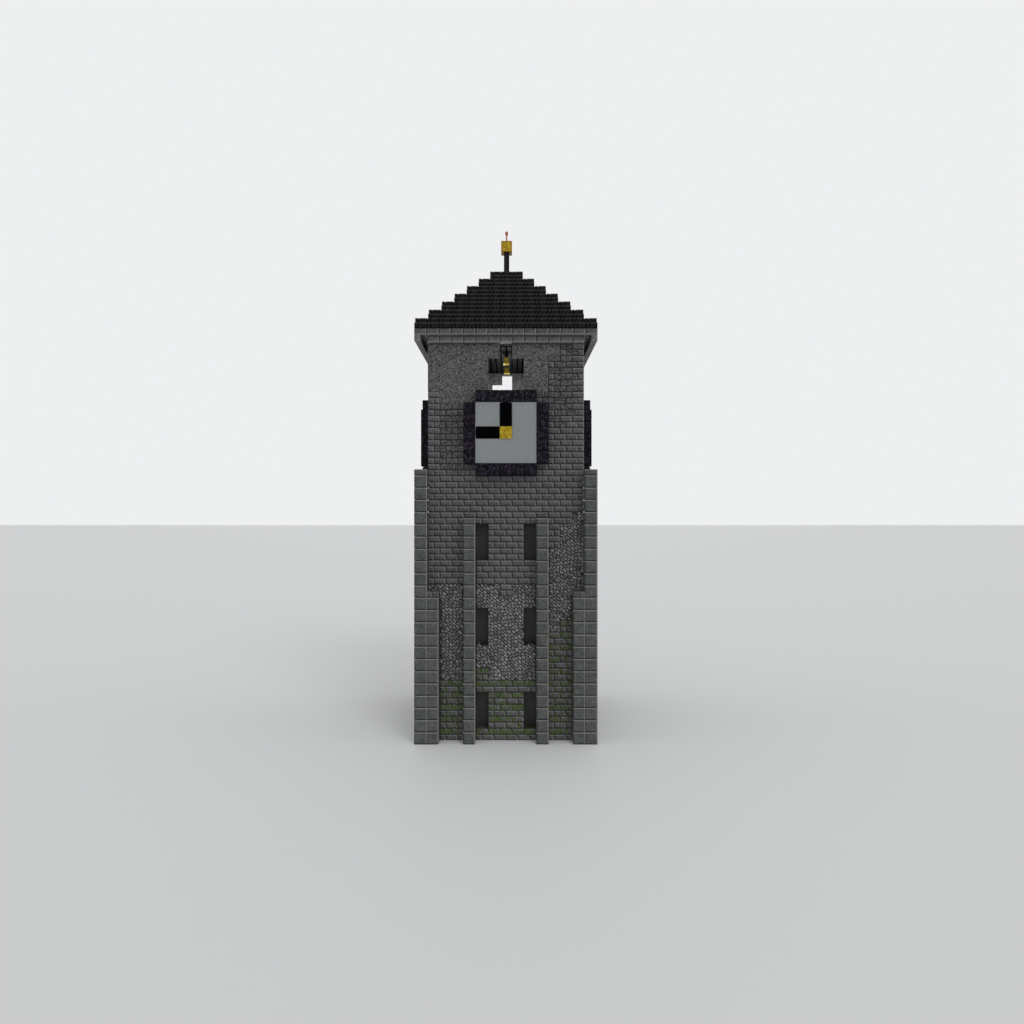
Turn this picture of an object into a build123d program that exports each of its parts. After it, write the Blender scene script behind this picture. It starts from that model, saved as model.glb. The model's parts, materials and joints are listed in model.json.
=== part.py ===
"""Square clock tower of stone blocks, made as a 1:2 model of a tower 45 m tall.

Millimetres, +Z up. The origin is the middle of the base on the ground. The front faces -Y.
"""
from build123d import *
from math import cos, radians, sin
import os

# Shaft: four walls round one square room a storey
wall_span = 6500
wall_thickness = 500
proud = 500             # buttresses, pilasters, clocks and cornice stand out to one plane
floor_thickness = 150

# Windows, in rows up each side
window_rows = 3
window_width = 500
window_height = 1500
window_sill = 500
storey_height = 3500
pane_thickness = 40
pane_lap = 60           # how far a pane laps the wall round its window

# Corner buttresses and the pilasters between the windows
corner_height = 11000
corner_cap = 250
flank_width = 500
flank_height = 6000
flank_cap = 250
pilaster_width = 500
pilaster_height = 9000
pilaster_cap = 250

# Clocks
clock_bottom = 11000
dial_size = 2500
frame_bar = 500
bar_ease = 12
dial_recess = 50        # the dial's face lies behind the face of its frame
hand_width = 500
hand_thickness = 14
hand_root = 200         # from the arbor back under the hub
hand_clearance = 5
tip_clearance = 10
hub_size = 500
arbor_radius = 25
arbor_length = 300
pipe_wall = 15
pipe_length = 200
running_gap = 0.3

# Belfry
belfry_width = 1500
belfry_height = 1500
slot_width = 500
slot_height = 500
infill_width = 500
infill_height = 500
ceiling_thickness = 500

# Bells, and the forks that they swing in
bell_offset = 1000
body_width = 187.5
body_height = 218.75
lip_width = 250
lip_height = 62.5
bell_wall = 14
bell_corner = 12
hanger_width = 62.5
hanger_height = 93.75
cheek_thickness = 16
tongue_gap = 5
pin_radius = 8
eye_radius = 17
pivot_drop = 42
clapper_radius = 7
clapper_ball = 20
clapper_rise = 26       # the ball's middle above the mouth

# Cornice
cornice_height = 500
cornice_drop = 250
cornice_setback = 250

# Roof of stepped courses
roof_courses = 7
course_height = 500
cap_span = 1500         # of the top course, which is solid
course_setback = 250    # of a course's upper half
course_nosing = 250     # height of its lower half
corner_block = 500
ring_bearing = 500      # how far a course bears on the ring below it

# Finial
post_width = 250
post_height = 1000
cube_size = 500
rod_width = 62.5
rod_height = 375
head_width = 125
head_height = 125

# Worked out from the sizes above
inner_span = wall_span - 2 * wall_thickness
outer_span = wall_span + 2 * proud
pilaster_offset = (dial_size + frame_bar) / 2
window_offset = pilaster_offset - (pilaster_width + window_width) / 2
dial_middle = clock_bottom + frame_bar + dial_size / 2
belfry_sill = clock_bottom + 2 * frame_bar + dial_size
slot_sill = belfry_sill + belfry_height
ceiling_level = slot_sill + slot_height
wall_height = ceiling_level + ceiling_thickness
cap_course = roof_courses - 1
course_step = (outer_span - cap_span) / (2 * cap_course)
roof_top = wall_height + roof_courses * course_height
hand_reach = dial_size / 2 - tip_clearance
pipe_radius = arbor_radius + running_gap + pipe_wall
dial_face = proud - dial_recess
hour_back = dial_face + hand_clearance
minute_back = hour_back + hand_thickness + hand_clearance
hub_back = minute_back + hand_thickness
body_top = ceiling_level - hanger_height
body_bottom = body_top - body_height
mouth_level = body_bottom - lip_height
pivot_level = ceiling_level - pivot_drop
tongue_thickness = hanger_width - 2 * (cheek_thickness + tongue_gap)
bell_inside = body_width - 2 * bell_wall
fork_top = eye_radius + tongue_gap

FACING = {"front": -90, "right": 0, "back": 90, "left": 180}
CORNERS = {"front_left": (-1, -1), "front_right": (1, -1), "back_right": (1, 1), "back_left": (-1, 1)}
ROOF = {"roof_lower_courses": (0, 1), "roof_middle_courses": (2, 3), "roof_upper_courses": (4, 5)}


def side_plane(side, out=0.0):
    """Elevation of a side: x to the right from outside, y up, z outwards from the wall's face."""
    angle = radians(FACING[side])
    outward = Vector(round(cos(angle)), round(sin(angle)), 0)
    rightward = Vector(-outward.Y, outward.X, 0)
    return Plane(origin=outward * (wall_span / 2 + out), x_dir=rightward, z_dir=outward)


def save(piece, label):
    """Label a finished piece and write it as a STEP file of that name."""
    piece.label = label
    export_step(piece, f"parts/{label}.step")


def window_middles():
    """Middles of the windows of one side, in its elevation."""
    levels = [window_sill + window_height / 2 + row * storey_height for row in range(window_rows)]
    return [(across, level) for level in levels for across in (-window_offset, window_offset)]


def build_wall(side):
    """A wall with its windows and its belfry opening; the side walls stand between the other two."""
    length = wall_span if side in ("front", "back") else inner_span
    with BuildPart() as wall:
        with BuildSketch(side_plane(side)):
            with Locations((0, wall_height / 2)):
                Rectangle(length, wall_height)
            with Locations(*window_middles()):
                Rectangle(window_width, window_height, mode=Mode.SUBTRACT)
            with Locations((0, belfry_sill + belfry_height / 2)):
                Rectangle(belfry_width, belfry_height, mode=Mode.SUBTRACT)
            with Locations((0, slot_sill + slot_height / 2)):
                Rectangle(slot_width, slot_height, mode=Mode.SUBTRACT)
            if side == "back":
                with Locations((-belfry_width / 2, slot_sill)):
                    Rectangle(infill_width, infill_height, align=(Align.MIN, Align.MAX))
        extrude(amount=-wall_thickness)
    save(wall.part, f"{side}_wall")


def build_panes(side):
    """Dark panes that close a side's windows against the inner face of the wall."""
    with BuildPart() as panes:
        with BuildSketch(side_plane(side, -wall_thickness)):
            with Locations(*window_middles()):
                Rectangle(window_width + 2 * pane_lap, window_height + 2 * pane_lap)
        extrude(amount=-pane_thickness)
    save(panes.part, f"{side}_window_panes")


def build_floor(label, top):
    """A floor slab between the walls."""
    with BuildPart() as slab:
        with BuildSketch(Plane.XY.offset(top - floor_thickness)):
            Rectangle(inner_span, inner_span)
        extrude(amount=floor_thickness)
    save(slab.part, label)


def build_buttress(corner):
    """A corner column with a lower flank along each wall, capped by half-height slabs."""
    sign_x, sign_y = CORNERS[corner]
    column_middle = (wall_span + proud) / 2
    flank_middle = (wall_span - flank_width) / 2
    with BuildPart() as buttress:
        with BuildSketch(Plane.XY):
            with Locations((sign_x * column_middle, sign_y * column_middle)):
                Rectangle(proud, proud)
        extrude(amount=corner_height + corner_cap)
        with BuildSketch(Plane.XY):
            with Locations((sign_x * flank_middle, sign_y * column_middle)):
                Rectangle(flank_width, proud)
            with Locations((sign_x * column_middle, sign_y * flank_middle)):
                Rectangle(proud, flank_width)
        extrude(amount=flank_height + flank_cap)
    save(buttress.part, f"{corner}_buttress")


def build_pilasters(side):
    """The two pilasters of a side, under the stiles of its clock."""
    height = pilaster_height + pilaster_cap
    with BuildPart() as pilasters:
        with BuildSketch(side_plane(side)):
            with Locations((-pilaster_offset, height / 2), (pilaster_offset, height / 2)):
                Rectangle(pilaster_width, height)
        extrude(amount=proud)
    save(pilasters.part, f"{side}_pilasters")


def build_dial(side):
    """The dial slab, with the blind bore that carries the hands."""
    with BuildPart() as dial:
        with BuildSketch(side_plane(side)):
            with Locations((0, dial_middle)):
                Rectangle(dial_size, dial_size)
        extrude(amount=dial_face)
        with BuildSketch(side_plane(side, dial_face)):
            with Locations((0, dial_middle)):
                Circle(pipe_radius + running_gap)
        extrude(amount=-(arbor_length + hand_clearance), mode=Mode.SUBTRACT)
    save(dial.part, f"{side}_dial")


def build_clock_frame(side):
    """Two rails and two stiles round the dial, with the corner blocks left out."""
    bar_middle = (dial_size + frame_bar) / 2
    with BuildPart() as frame:
        with BuildSketch(side_plane(side)) as rails:
            with Locations((0, dial_middle - bar_middle), (0, dial_middle + bar_middle)):
                Rectangle(dial_size, frame_bar)
            chamfer(rails.vertices(), bar_ease)
        extrude(amount=proud)
        with BuildSketch(side_plane(side)) as stiles:
            with Locations((-bar_middle, dial_middle), (bar_middle, dial_middle)):
                Rectangle(frame_bar, dial_size)
            chamfer(stiles.vertices(), bar_ease)
        extrude(amount=proud)
    save(frame.part, f"{side}_clock_frame")


def build_hand(label, plane, turn, bore, shaft, shaft_length):
    """A hand on its shaft, which runs back into the dial; the hour hand's shaft is a pipe."""
    with BuildPart() as hand:
        with BuildSketch(plane):
            with Locations((0, dial_middle)):
                Circle(hand_reach)
            with Locations(Location((0, dial_middle), turn)):
                Rectangle(2 * hand_reach, hand_width, mode=Mode.INTERSECT)
            with Locations(Location((0, dial_middle), turn)):
                with Locations((-hand_root, 0)):
                    Rectangle(hand_reach, hand_width, align=(Align.MAX, Align.CENTER), mode=Mode.SUBTRACT)
        extrude(amount=hand_thickness)
        with BuildSketch(plane):
            with Locations((0, dial_middle)):
                Circle(shaft)
        extrude(amount=-shaft_length)
        if bore:
            with BuildSketch(plane.offset(hand_thickness)):
                with Locations((0, dial_middle)):
                    Circle(bore)
            extrude(amount=-(hand_thickness + shaft_length), mode=Mode.SUBTRACT)
    save(hand.part, label)


def build_hub(side):
    """The square gilt plate over the roots of the hands."""
    with BuildPart() as hub:
        with BuildSketch(side_plane(side, hub_back)):
            with Locations((0, dial_middle)):
                Rectangle(hub_size, hub_size)
        extrude(amount=proud - hub_back)
    save(hub.part, f"{side}_hub")


def build_bell(label, sign):
    """A square bell with a wider lip, with its tongue and its clapper."""
    middle = (0, sign * bell_offset)
    with BuildPart() as bell:
        with BuildSketch(Plane.XY.offset(body_bottom)):
            with Locations(middle):
                RectangleRounded(body_width, body_width, bell_corner)
        extrude(amount=body_height)
        with BuildSketch(Plane.XY.offset(mouth_level)):
            with Locations(middle):
                RectangleRounded(lip_width, lip_width, bell_corner)
        extrude(amount=lip_height)
        with BuildSketch(Plane.XY.offset(mouth_level)):
            with Locations(middle):
                Rectangle(bell_inside, bell_inside)
        extrude(amount=body_top - bell_wall - mouth_level, mode=Mode.SUBTRACT)
        tongue_plane = Plane(
            origin=(0, sign * bell_offset - tongue_thickness / 2, pivot_level),
            x_dir=(-1, 0, 0),
            z_dir=(0, 1, 0),
        )
        with BuildSketch(tongue_plane):
            Circle(eye_radius)
            Rectangle(2 * eye_radius, pivot_level - body_top, align=(Align.CENTER, Align.MAX))
            Circle(pin_radius + running_gap, mode=Mode.SUBTRACT)
        extrude(amount=tongue_thickness)
        with BuildSketch(Plane.XY.offset(mouth_level + clapper_rise)):
            with Locations(middle):
                Circle(clapper_radius)
        extrude(amount=body_top - bell_wall - mouth_level - clapper_rise)
        with Locations((*middle, mouth_level + clapper_rise)):
            Sphere(clapper_ball)
    save(bell.part, label)


def build_hangers():
    """Two forks under the ceiling, each with the pin that a bell swings on."""
    reach = hanger_width / 2
    with BuildPart() as hangers:
        for sign in (-1, 1):
            near_face = Plane(
                origin=(0, sign * bell_offset - reach, pivot_level), x_dir=(-1, 0, 0), z_dir=(0, 1, 0)
            )
            with BuildSketch(near_face):
                Circle(reach)
                Rectangle(hanger_width, pivot_drop, align=(Align.CENTER, Align.MIN))
            extrude(amount=hanger_width)
            with BuildSketch(near_face.offset(cheek_thickness)):
                with Locations((0, -reach)):
                    Rectangle(hanger_width, reach + fork_top, align=(Align.CENTER, Align.MIN))
            extrude(amount=hanger_width - 2 * cheek_thickness, mode=Mode.SUBTRACT)
            with BuildSketch(near_face):
                Circle(pin_radius)
            extrude(amount=hanger_width)
    save(hangers.part, "bell_hangers")


def build_face_cornice(side):
    """The front or back cornice, whose lower half steps back towards the wall."""
    with BuildPart() as cornice:
        with BuildSketch(side_plane(side)):
            with Locations((0, wall_height)):
                Rectangle(wall_span, cornice_height, align=(Align.CENTER, Align.MAX))
        extrude(amount=proud)
        with BuildSketch(side_plane(side, proud)):
            with Locations((0, wall_height - cornice_height)):
                Rectangle(wall_span, cornice_drop, align=(Align.CENTER, Align.MIN))
        extrude(amount=-cornice_setback, mode=Mode.SUBTRACT)
    save(cornice.part, f"{side}_cornice")


def build_flank_cornice(side):
    """The left or right cornice, whose lower half steps outwards and leaves a groove at the wall."""
    with BuildPart() as cornice:
        with BuildSketch(side_plane(side)):
            with Locations((0, wall_height)):
                Rectangle(outer_span, cornice_height, align=(Align.CENTER, Align.MAX))
        extrude(amount=proud)
        with BuildSketch(side_plane(side)):
            with Locations((0, wall_height - cornice_height)):
                Rectangle(outer_span, cornice_drop, align=(Align.CENTER, Align.MIN))
        extrude(amount=cornice_setback, mode=Mode.SUBTRACT)
    save(cornice.part, f"{side}_cornice")


def build_roof_courses(label, courses):
    """Square rings under a solid cap, each with a wider lower half and a tile-deep step above it."""
    with BuildPart() as roof:
        for course in courses:
            span = outer_span - 2 * course_step * course
            inside = span - 2 * (course_step + ring_bearing)
            level = wall_height + course * course_height
            upper = span - 2 * course_setback
            ear_middle = (span - corner_block - course_setback) / 2
            with BuildSketch(Plane.XY.offset(level)):
                Rectangle(span, span)
                if course < cap_course:
                    Rectangle(inside, inside, mode=Mode.SUBTRACT)
            extrude(amount=course_nosing)
            with BuildSketch(Plane.XY.offset(level + course_nosing)):
                Rectangle(upper, upper)
                with Locations((0, -ear_middle), (0, ear_middle)):
                    Rectangle(span, corner_block - course_setback)
                if course < cap_course:
                    Rectangle(inside, inside, mode=Mode.SUBTRACT)
            extrude(amount=course_height - course_nosing)
    save(roof.part, label)


def build_block(label, bottom, width, height):
    """An upright square block on the tower's middle line."""
    with BuildPart() as block:
        with BuildSketch(Plane.XY.offset(bottom)):
            Rectangle(width, width)
        extrude(amount=height)
    save(block.part, label)


def build_rod(bottom):
    """The square copper rod with its wider head."""
    with BuildPart() as rod:
        with BuildSketch(Plane.XY.offset(bottom)):
            Rectangle(rod_width, rod_width)
        extrude(amount=rod_height)
        with BuildSketch(Plane.XY.offset(bottom + rod_height)):
            Rectangle(head_width, head_width)
        extrude(amount=head_height)
    save(rod.part, "finial_rod")


os.makedirs("parts", exist_ok=True)
for side in FACING:
    build_wall(side)
    build_panes(side)
    build_pilasters(side)
    build_dial(side)
    build_clock_frame(side)
    build_hand(f"{side}_hour_hand", side_plane(side, hour_back), 180, arbor_radius + running_gap,
               pipe_radius, hand_clearance + pipe_length)
    build_hand(f"{side}_minute_hand", side_plane(side, minute_back), 90, 0,
               arbor_radius, minute_back - dial_face + arbor_length)
    build_hub(side)
for corner in CORNERS:
    build_buttress(corner)
build_face_cornice("front")
build_face_cornice("back")
build_flank_cornice("left")
build_flank_cornice("right")
build_floor("ground_floor", floor_thickness)
build_floor("first_floor", storey_height)
build_floor("second_floor", 2 * storey_height)
build_floor("clock_floor", 3 * storey_height)
build_floor("belfry_floor", belfry_sill)
with BuildPart() as ceiling:
    with BuildSketch(Plane.XY.offset(ceiling_level)):
        Rectangle(inner_span, inner_span)
    extrude(amount=ceiling_thickness)
save(ceiling.part, "belfry_ceiling")
build_hangers()
build_bell("front_bell", -1)
build_bell("back_bell", 1)
for label, courses in ROOF.items():
    build_roof_courses(label, courses)
build_roof_courses("roof_cap", (cap_course,))
build_block("finial_post", roof_top, post_width, post_height)
build_block("finial_cube", roof_top + post_height, cube_size, cube_size)
build_rod(roof_top + post_height + cube_size)
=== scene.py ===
"""Looks of the square stone clock tower, laid over its solid parts.

Metres, +Z up, the front faces -Y. Everything that is one of four sides is laid out as the front
is seen and then turned about the tower's middle line. Places on a wall are complex numbers,
across and up.
"""
import bmesh
import bpy
import json
import logging
from collections import defaultdict
from collections.abc import Callable, Iterator
from dataclasses import dataclass, field, replace
from enum import Enum
from itertools import product
from math import cos, floor, pi, radians, sin, tan
from mathutils import Matrix, Vector, noise
from random import Random

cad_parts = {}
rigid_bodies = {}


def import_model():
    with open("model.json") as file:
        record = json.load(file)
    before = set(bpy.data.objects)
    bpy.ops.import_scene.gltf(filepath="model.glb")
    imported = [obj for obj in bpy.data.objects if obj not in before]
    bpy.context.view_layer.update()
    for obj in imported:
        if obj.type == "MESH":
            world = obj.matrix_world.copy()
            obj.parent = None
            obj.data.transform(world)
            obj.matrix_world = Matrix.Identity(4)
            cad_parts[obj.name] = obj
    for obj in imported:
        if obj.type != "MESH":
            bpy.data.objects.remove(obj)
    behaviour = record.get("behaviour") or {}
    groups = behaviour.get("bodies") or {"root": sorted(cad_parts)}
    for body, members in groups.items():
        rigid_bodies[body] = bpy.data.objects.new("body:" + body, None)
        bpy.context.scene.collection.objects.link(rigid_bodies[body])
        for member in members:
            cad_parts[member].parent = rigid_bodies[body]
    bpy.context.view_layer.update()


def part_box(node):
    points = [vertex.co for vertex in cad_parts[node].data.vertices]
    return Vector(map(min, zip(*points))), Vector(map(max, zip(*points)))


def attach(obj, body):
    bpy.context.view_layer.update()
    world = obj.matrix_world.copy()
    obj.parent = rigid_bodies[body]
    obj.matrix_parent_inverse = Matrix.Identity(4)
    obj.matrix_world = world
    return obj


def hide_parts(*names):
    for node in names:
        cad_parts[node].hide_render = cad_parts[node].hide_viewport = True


LOG = logging.getLogger("clock_tower")
Corner = tuple[float, float, float]
Colour = tuple[float, float, float]
Outline = list[complex]
Socket = bpy.types.NodeSocket

# The wall's blocks: columns from 1 at the left seen from outside, rows from 0 at the ground
WALL_COLUMNS = 13
WALL_ROWS = 33
WINDOW_COLUMNS = (5, 9)
WINDOW_FEET = (1, 8, 15)
WINDOW_BLOCKS = 3
WINDOW_ROWS = [foot + step for foot in WINDOW_FEET for step in range(WINDOW_BLOCKS)]
PILASTER_COLUMNS = (4, 10)
PILASTER_ROWS = 18
CORNER_COLUMNS = (1, 13)
CORNER_ROWS = 22
FLANK_ROWS = 12
DIAL_COLUMNS = range(5, 10)
DIAL_ROWS = range(22, 29)
OPENING_COLUMNS = range(6, 9)
OPENING_ROWS = range(29, 32)
SLOT = (7, 32)
FILLED_AT_BACK = (6, 31)

# Less than this is nothing, in metres or square metres
TINY = 1e-6


def linear(*levels: float) -> tuple[float, ...]:
    """Turn a display colour of 0 to 255 into scene-linear values."""
    shares = [level / 255 for level in levels]
    return (*(s / 12.92 if s <= 0.04045 else ((s + 0.055) / 1.055) ** 2.4 for s in shares), 1.0)


def held(value: float, low: float = 0.0, high: float = 1.0) -> float:
    """A value held between two ends."""
    return min(high, max(low, value))


def chance_tone(random: Random, spread: float, middle: float = 0.5) -> float:
    """A tone from 0 to 1 that chance spreads round a middle one."""
    return held(random.gauss(middle, spread))


class Side(Enum):
    """The four sides by their quarter turns from the front, counter-clockwise seen from above."""

    FRONT, RIGHT, BACK, LEFT = range(4)

    @property
    def label(self) -> str:
        """The side's name in the frame's nodes."""
        return self.name.lower()

    @property
    def mirrored(self) -> bool:
        """Whether the masonry runs the other way round, so that it matches at the corners."""
        return self.value % 2 == 1


class StoneForm(Enum):
    """A stone's faces before it is cut.

    The values are the cells across its front, the cells across its other faces, and the sides of
    its margin that carry a painted highlight, partly wear: 1 for the right or the top, -1 for the
    left or the foot, and nearer to 0 where they are less light. The margin's other sides carry
    painted shade, partly dirt, but a form lit from its foot leaves its top plain.
    """

    PLAIN = (1, 1, 1.0, 1.0)
    MARGINED = (3, 3, 1.0, 1.0)
    HUNG = (3, 3, 1.0, -1.0)
    TILED = (3, 1, -0.3, 1.0)
    HEWN = (5, 1, 1.0, 1.0)
    ROUGH = (15, 5, 1.0, 1.0)


class Facing(Enum):
    """What a block of a wall is faced with."""

    BRICK, CRACKED, MOSSY, COBBLE, ROUGH, JAMB, HIDDEN, OPEN = range(8)

    @property
    def is_brick(self) -> bool:
        """Whether it is made of bricks, whole or broken."""
        return self in (Facing.BRICK, Facing.CRACKED, Facing.MOSSY)


def facing(side: Side, column: int, row: int) -> Facing:
    """What a block of a side is faced with, or hidden where it is off the wall.

    Args:
        side: the side.
        column: from 1 at the left, seen from outside.
        row: from 0 at the ground.

    Returns:
        Its facing.
    """
    if not 1 <= column <= WALL_COLUMNS or not 0 <= row < WALL_ROWS:
        return Facing.HIDDEN
    if column in WINDOW_COLUMNS and row in WINDOW_ROWS:
        return Facing.OPEN
    filled = side is Side.BACK and (column, row) == FILLED_AT_BACK
    if column in OPENING_COLUMNS and row in OPENING_ROWS and not filled or (column, row) == SLOT:
        return Facing.OPEN
    if column in DIAL_COLUMNS and row in DIAL_ROWS:
        return Facing.HIDDEN
    if column in PILASTER_COLUMNS and row in DIAL_ROWS[1:-1]:
        return Facing.HIDDEN
    if column in PILASTER_COLUMNS and row < PILASTER_ROWS:
        return Facing.JAMB if row in WINDOW_ROWS else Facing.HIDDEN
    if column in CORNER_COLUMNS and row < FLANK_ROWS:
        return Facing.HIDDEN
    return masonry(WALL_COLUMNS + 1 - column if side.mirrored else column, row)


def masonry(column: int, row: int) -> Facing:
    """The masonry by its zones: mossy foot, cobbles, bricks, cracked bricks, rough stone.

    Args:
        column: the column, as the front is seen.
        row: its row.

    Returns:
        Its facing.
    """
    mossy_top = {2: 5, 3: 5, 5: 6, 6: 5, 7: 5, 8: 5, 9: 5, 11: 9, 12: 10}
    cobble_top = {1: 13, 2: 13, 3: 13, 5: 13, 6: 13, 7: 12, 8: 13, 9: 13, 11: 16, 12: 18, 13: 19}
    cracked_from = {11: 26, 12: 27, 13: 29}
    plain_top, left_cracked_top, right_brick_top, rough_foot = 22, 27, 31, 28
    if row < mossy_top.get(column, 0):
        return Facing.MOSSY
    if row < cobble_top.get(column, 0):
        return Facing.COBBLE
    if row < plain_top:
        return Facing.BRICK
    if row == plain_top:
        return Facing.CRACKED if 2 <= column <= 4 else Facing.BRICK
    if column <= 3 and row <= left_cracked_top:
        return Facing.CRACKED
    if column >= 11 and (row <= right_brick_top or column >= 12):
        return Facing.CRACKED if row >= cracked_from[column] else Facing.BRICK
    return Facing.CRACKED if row == rough_foot and column in (1, 10) else Facing.ROUGH


class Wiring:
    """Adds nodes to a tree, and wires or sets their inputs."""

    def __init__(self, tree: bpy.types.NodeTree) -> None:
        """Empty the tree."""
        self.tree = tree
        tree.nodes.clear()

    def add(self, kind: str, inputs: dict | None = None, **settings: object) -> bpy.types.Node:
        """Add a node with its options, and its inputs as values or sockets by name or number.

        Args:
            kind: its type.
            inputs: values or sockets, by name or number.
            settings: its options.

        Returns:
            The node.
        """
        node = self.tree.nodes.new(kind)
        for name, value in settings.items():
            setattr(node, name, value)
        for name, value in (inputs or {}).items():
            self.set(node.inputs[name], value)
        return node

    def set(self, socket: Socket, value: object) -> None:
        """Wire another socket to an input, or set the input's value.

        Args:
            socket: the input.
            value: a socket or a value.
        """
        if isinstance(value, Socket):
            self.tree.links.new(value, socket)
        else:
            socket.default_value = value

    def maths(self, operation: str, first: Socket | float, second: Socket | float) -> Socket:
        """One sum of two values."""
        return self.add("ShaderNodeMath", {0: first, 1: second}, operation=operation).outputs[0]

    def scaled(self, vector: Socket, factor: Socket) -> Socket:
        """A vector or colour times a factor."""
        return self.add("ShaderNodeVectorMath", {0: vector, "Scale": factor}, operation="SCALE").outputs[0]


class Paint(Wiring):
    """The nodes of one material."""

    def __init__(self, name: str) -> None:
        """Start a material with a shader and an output.

        Args:
            name: its name.
        """
        self.material = bpy.data.materials.new(name)
        self.material.use_nodes = True
        super().__init__(self.material.node_tree)
        self.shader = self.add("ShaderNodeBsdfPrincipled")
        self.add("ShaderNodeOutputMaterial", {0: self.shader.outputs[0]})

    def place(self, stretch: Corner = (1, 1, 1)) -> Socket:
        """Object coordinates, stretched."""
        seen = self.add("ShaderNodeTexCoord").outputs["Object"]
        return self.add("ShaderNodeMapping", {"Vector": seen, "Scale": stretch}).outputs[0]

    def noise(self, vector: Socket, scale: float, detail: float, rough: float = 0.55) -> Socket:
        """Noise of a scale over a vector."""
        inputs = {"Vector": vector, "Scale": scale, "Detail": detail, "Roughness": rough}
        return self.add("ShaderNodeTexNoise", inputs).outputs["Fac"]

    def mark(self, name: str) -> Socket:
        """The value that a mesh carries under a name."""
        return self.add("ShaderNodeAttribute", attribute_name=name).outputs["Fac"]

    def spread(self, value: Socket, low: float, high: float, to_low: float = 0.0,
               to_high: float = 1.0) -> Socket:
        """Map a value from one range to another, held at its ends."""
        inputs = {0: value, 1: low, 2: high, 3: to_low, 4: to_high}
        return self.add("ShaderNodeMapRange", inputs, clamp=True).outputs[0]

    def ramp(self, value: Socket, *stops: tuple[float, Colour]) -> Socket:
        """A colour along a ramp of stops.

        Args:
            value: the place along it.
            stops: positions and display colours.

        Returns:
            The colour.
        """
        node = self.add("ShaderNodeValToRGB", {0: value})
        elements = node.color_ramp.elements
        while len(elements) < len(stops):
            elements.new(0.5)
        for element, (position, colour) in zip(elements, stops):
            element.position = position
            element.color = linear(*colour)
        return node.outputs[0]

    def mix(self, factor: Socket, first: Socket, second: Socket | Colour) -> Socket:
        """A colour mixed by a factor with another, which is a socket or a display colour.

        Args:
            factor: the second's share.
            first: the lower colour.
            second: the upper colour.

        Returns:
            The colour.
        """
        over = second if isinstance(second, Socket) else linear(*second)
        node = self.add("ShaderNodeMix", {0: factor, 6: first, 7: over}, data_type="RGBA")
        return node.outputs[2]

    def bump(self, heights: list[tuple[Socket, float]], strength: float) -> None:
        """Roughen the surface by heights, each with its depth in metres.

        Args:
            heights: heights with their depths in metres.
            strength: how much they show.
        """
        for height, depth in heights:
            inputs = {"Height": height, "Strength": strength, "Distance": depth}
            node = self.add("ShaderNodeBump", inputs)
            if self.shader.inputs["Normal"].is_linked:
                self.set(node.inputs["Normal"], self.shader.inputs["Normal"].links[0].from_socket)
            self.set(self.shader.inputs["Normal"], node.outputs[0])

    def shade(self, **values: object) -> None:
        """Set or wire the shader's inputs by their names, with spaces as underscores."""
        for name, value in values.items():
            self.set(self.shader.inputs[name.replace("_", " ")], value)


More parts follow.
